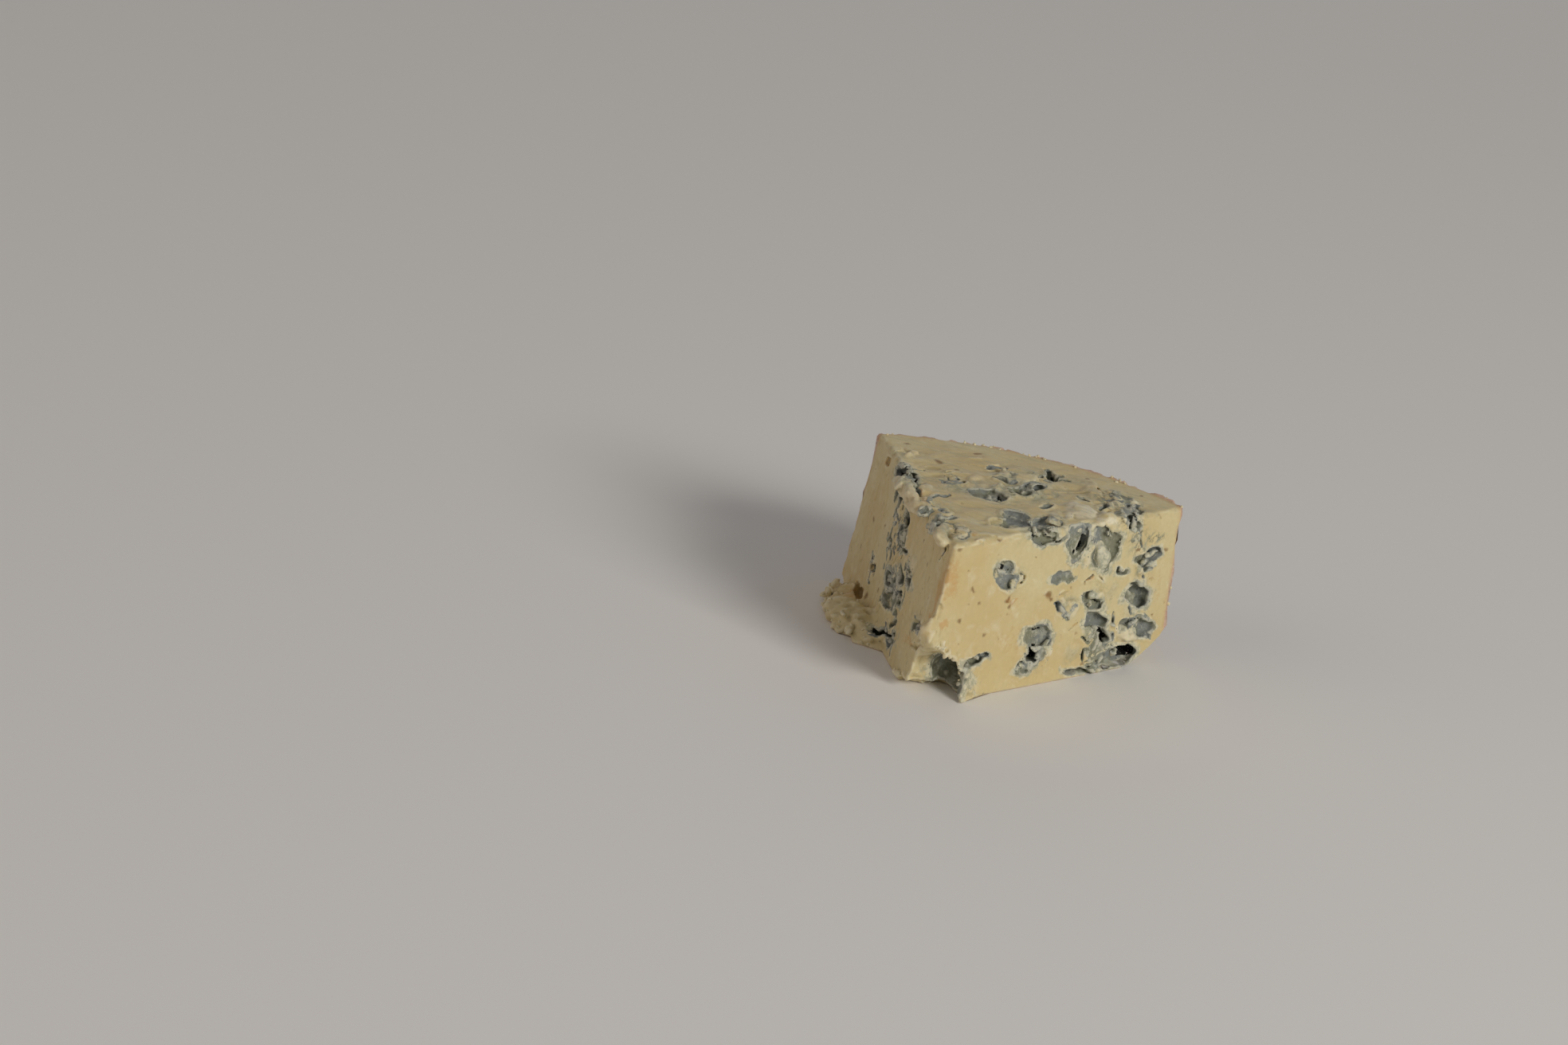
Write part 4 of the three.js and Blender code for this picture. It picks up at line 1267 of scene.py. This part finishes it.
# ---------------------------------------------------------------- scattered crumbs and mould grains
def scatter_tree():
    """Small uneven grains on the places where a mask layer is high, each sunk into the surface."""
    tree = bpy.data.node_groups.new("scatter_grains", "GeometryNodeTree")
    sockets = (
        ("Surface", "NodeSocketGeometry"), ("Mask", "NodeSocketString"), ("Density", "NodeSocketFloat"),
        ("Smallest", "NodeSocketFloat"), ("Largest", "NodeSocketFloat"), ("Seed", "NodeSocketInt"),
        ("Rounds", "NodeSocketInt"), ("Material", "NodeSocketMaterial"),
    )
    for name, kind in sockets:
        tree.interface.new_socket(name=name, in_out="INPUT", socket_type=kind)
    tree.interface.new_socket(name="Grains", in_out="OUTPUT", socket_type="NodeSocketGeometry")
    n = Nodes(tree)
    given = tree.nodes.new("NodeGroupInput").outputs
    mask = n.add("GeometryNodeInputNamedAttribute", {"data_type": "FLOAT"}, Name=given["Mask"])
    density = n.times(mask.outputs["Attribute"], given["Density"])
    points = n.add(
        "GeometryNodeDistributePointsOnFaces",
        Mesh=given["Surface"], Density=density, Seed=given["Seed"],
    )
    ball = n.add("GeometryNodeMeshIcoSphere", Radius=1.0, Subdivisions=given["Rounds"])
    swell = n.add("ShaderNodeTexNoise", {"noise_dimensions": "3D"}, Scale=1.1, Detail=1.0)
    shift = n.add("ShaderNodeVectorMath", {"operation": "SUBTRACT"})
    n.put(shift.inputs[0], swell.outputs["Color"])
    shift.inputs[1].default_value = (0.5, 0.5, 0.5)
    lump = n.add(
        "GeometryNodeSetPosition",
        Geometry=ball.outputs["Mesh"], Offset=shift.outputs["Vector"],
    )
    size = n.add(
        "FunctionNodeRandomValue", {"data_type": "FLOAT_VECTOR"},
        Min=given["Smallest"], Max=given["Largest"], Seed=given["Seed"],
    )
    turn = n.add("FunctionNodeRandomValue", {"data_type": "FLOAT_VECTOR"}, Max=[math.tau] * 3)
    grains = n.add(
        "GeometryNodeInstanceOnPoints",
        Points=points.outputs["Points"], Instance=lump.outputs["Geometry"],
        Rotation=turn.outputs["Value"], Scale=size.outputs["Value"],
    )
    solid = n.add("GeometryNodeRealizeInstances", Geometry=grains.outputs["Instances"])
    smooth = n.add("GeometryNodeSetShadeSmooth", Geometry=solid.outputs["Geometry"])
    painted = n.add(
        "GeometryNodeSetMaterial",
        Geometry=smooth.outputs["Geometry"], Material=given["Material"],
    )
    out = tree.nodes.new("NodeGroupOutput")
    n.put(out.inputs["Grains"], painted.outputs["Geometry"])
    return tree


def scatter(name, surface, tree, **values):
    """Grains on a copy of the surface, which they replace."""
    piece = add_object(name, surface.data.copy())
    grains = piece.modifiers.new("grains", "NODES")
    grains.node_group = tree
    for socket in tree.interface.items_tree:
        if socket.name in values:
            grains[socket.identifier] = values[socket.name]
    bake(piece)
    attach(piece, "root")


def scatter_all(surface):
    place = vertex_places(surface)
    foot = smooth_step(5, 0.5, place[2]) * (cut_out("left", place) > 1.0)
    on_top = smooth_step(*TOP_EDGE, place[2])
    back_edge = smooth_step(-2.4, -1, rind_out(place)) * on_top
    right_edge = smooth_step(-1.4, -0.4, cut_out("right", place))
    right_edge = right_edge * smooth_step(-1.6, -0.6, rind_out(place))
    clusters = smooth_step(0.4, 1.0, ripple(place, 2.6, 95))
    crumbly = np.maximum(0.6 * foot, clusters * np.maximum(back_edge, 0.3 * right_edge))
    for _, close, share in shares(loose_curds, place, 1.0, 1.6):
        crumbly[close] = np.maximum(crumbly[close], 0.6 * share)
    store(surface, "crumbly", crumbly * (place[2] > CRUMB_FLOOR))
    mould = np.empty(len(place[2]), np.float32)
    surface.data.attributes["mould"].data.foreach_get("value", mould)
    store(surface, "grainy", mould * (place[2] > CRUMB_FLOOR))
    tree = scatter_tree()
    scatter(
        "crumbs", surface, tree,
        Mask="crumbly", Density=5e5, Smallest=0.00018, Largest=0.0006, Seed=3, Rounds=2,
        Material=plain_material("pale_crumbs", cream, 0.55, Paleness=0.5),
    )
    scatter(
        "mould_grains", surface, tree,
        Mask="grainy", Density=1.6e6, Smallest=0.00006, Largest=0.00018, Seed=8, Rounds=1,
        Material=plain_material("mould_grains", green, 0.85, Crease=0.0),
    )


# ---------------------------------------------------------------- floor, light, camera
def bearing(azimuth, elevation):
    """The way from the cheese towards an azimuth, counted from -Y to +X, and an elevation."""
    flat = math.cos(elevation)
    return Vector((math.sin(azimuth) * flat, -math.cos(azimuth) * flat, math.sin(elevation)))


def view_axes():
    back = bearing(VIEW_AZIMUTH, VIEW_ELEVATION)
    level = (-back).cross(Vector((0, 0, 1))).normalized()
    upright = level.cross(-back)
    right = math.cos(VIEW_ROLL) * level + math.sin(VIEW_ROLL) * upright
    up = -math.sin(VIEW_ROLL) * level + math.cos(VIEW_ROLL) * upright
    return right, up, back


def camera():
    right, up, back = view_axes()
    data = bpy.data.cameras.new("camera")
    data.lens = LENS
    data.sensor_width = 36
    data.clip_start = 0.05
    item = add_object("camera", data)
    spot = Vector(TIP * MM) - (right * VIEW_RIGHT + up * VIEW_UP - back * VIEW_AWAY) * MM
    item.matrix_world = Matrix.Translation(spot) @ Matrix((right, up, back)).transposed().to_4x4()
    bpy.context.scene.camera = item


def lamp(name, azimuth, elevation, distance, size, power, tint):
    """A square lamp aimed at the cheese."""
    back = bearing(math.radians(azimuth), math.radians(elevation))
    data = bpy.data.lights.new(name, "AREA")
    data.size = size
    data.energy = power
    data.color = tint
    item = add_object(name, data)
    item.location = Vector(LAMP_AIM) + back * distance
    item.rotation_euler = back.to_track_quat("Z", "Y").to_euler()


def studio():
    corners = FLOOR_REACH * np.array([(-1, -1, 0), (1, -1, 0), (1, 1, 0), (-1, 1, 0)], float)
    floor = new_piece("floor", corners, np.array([(0, 1, 2, 3)]), smooth=False)
    material = bpy.data.materials.new("pale_floor")
    material.use_nodes = True
    shader = material.node_tree.nodes["Principled BSDF"]
    shader.inputs["Base Color"].default_value = srgb(244, 242, 238)
    shader.inputs["Roughness"].default_value = 0.8
    floor.data.materials.append(material)
    for name, row in LAMPS.items():
        lamp(name, *row)
    world = bpy.data.worlds.new("studio")
    bpy.context.scene.world = world
    world.use_nodes = True
    background = world.node_tree.nodes["Background"]
    background.inputs["Color"].default_value = (0.85, 0.86, 0.88, 1)
    background.inputs["Strength"].default_value = 0.2
    bpy.context.scene.view_settings.view_transform = "Standard"


camera()
studio()
cream = paste_group()
green = mould_group()
scatter_all(cheese())
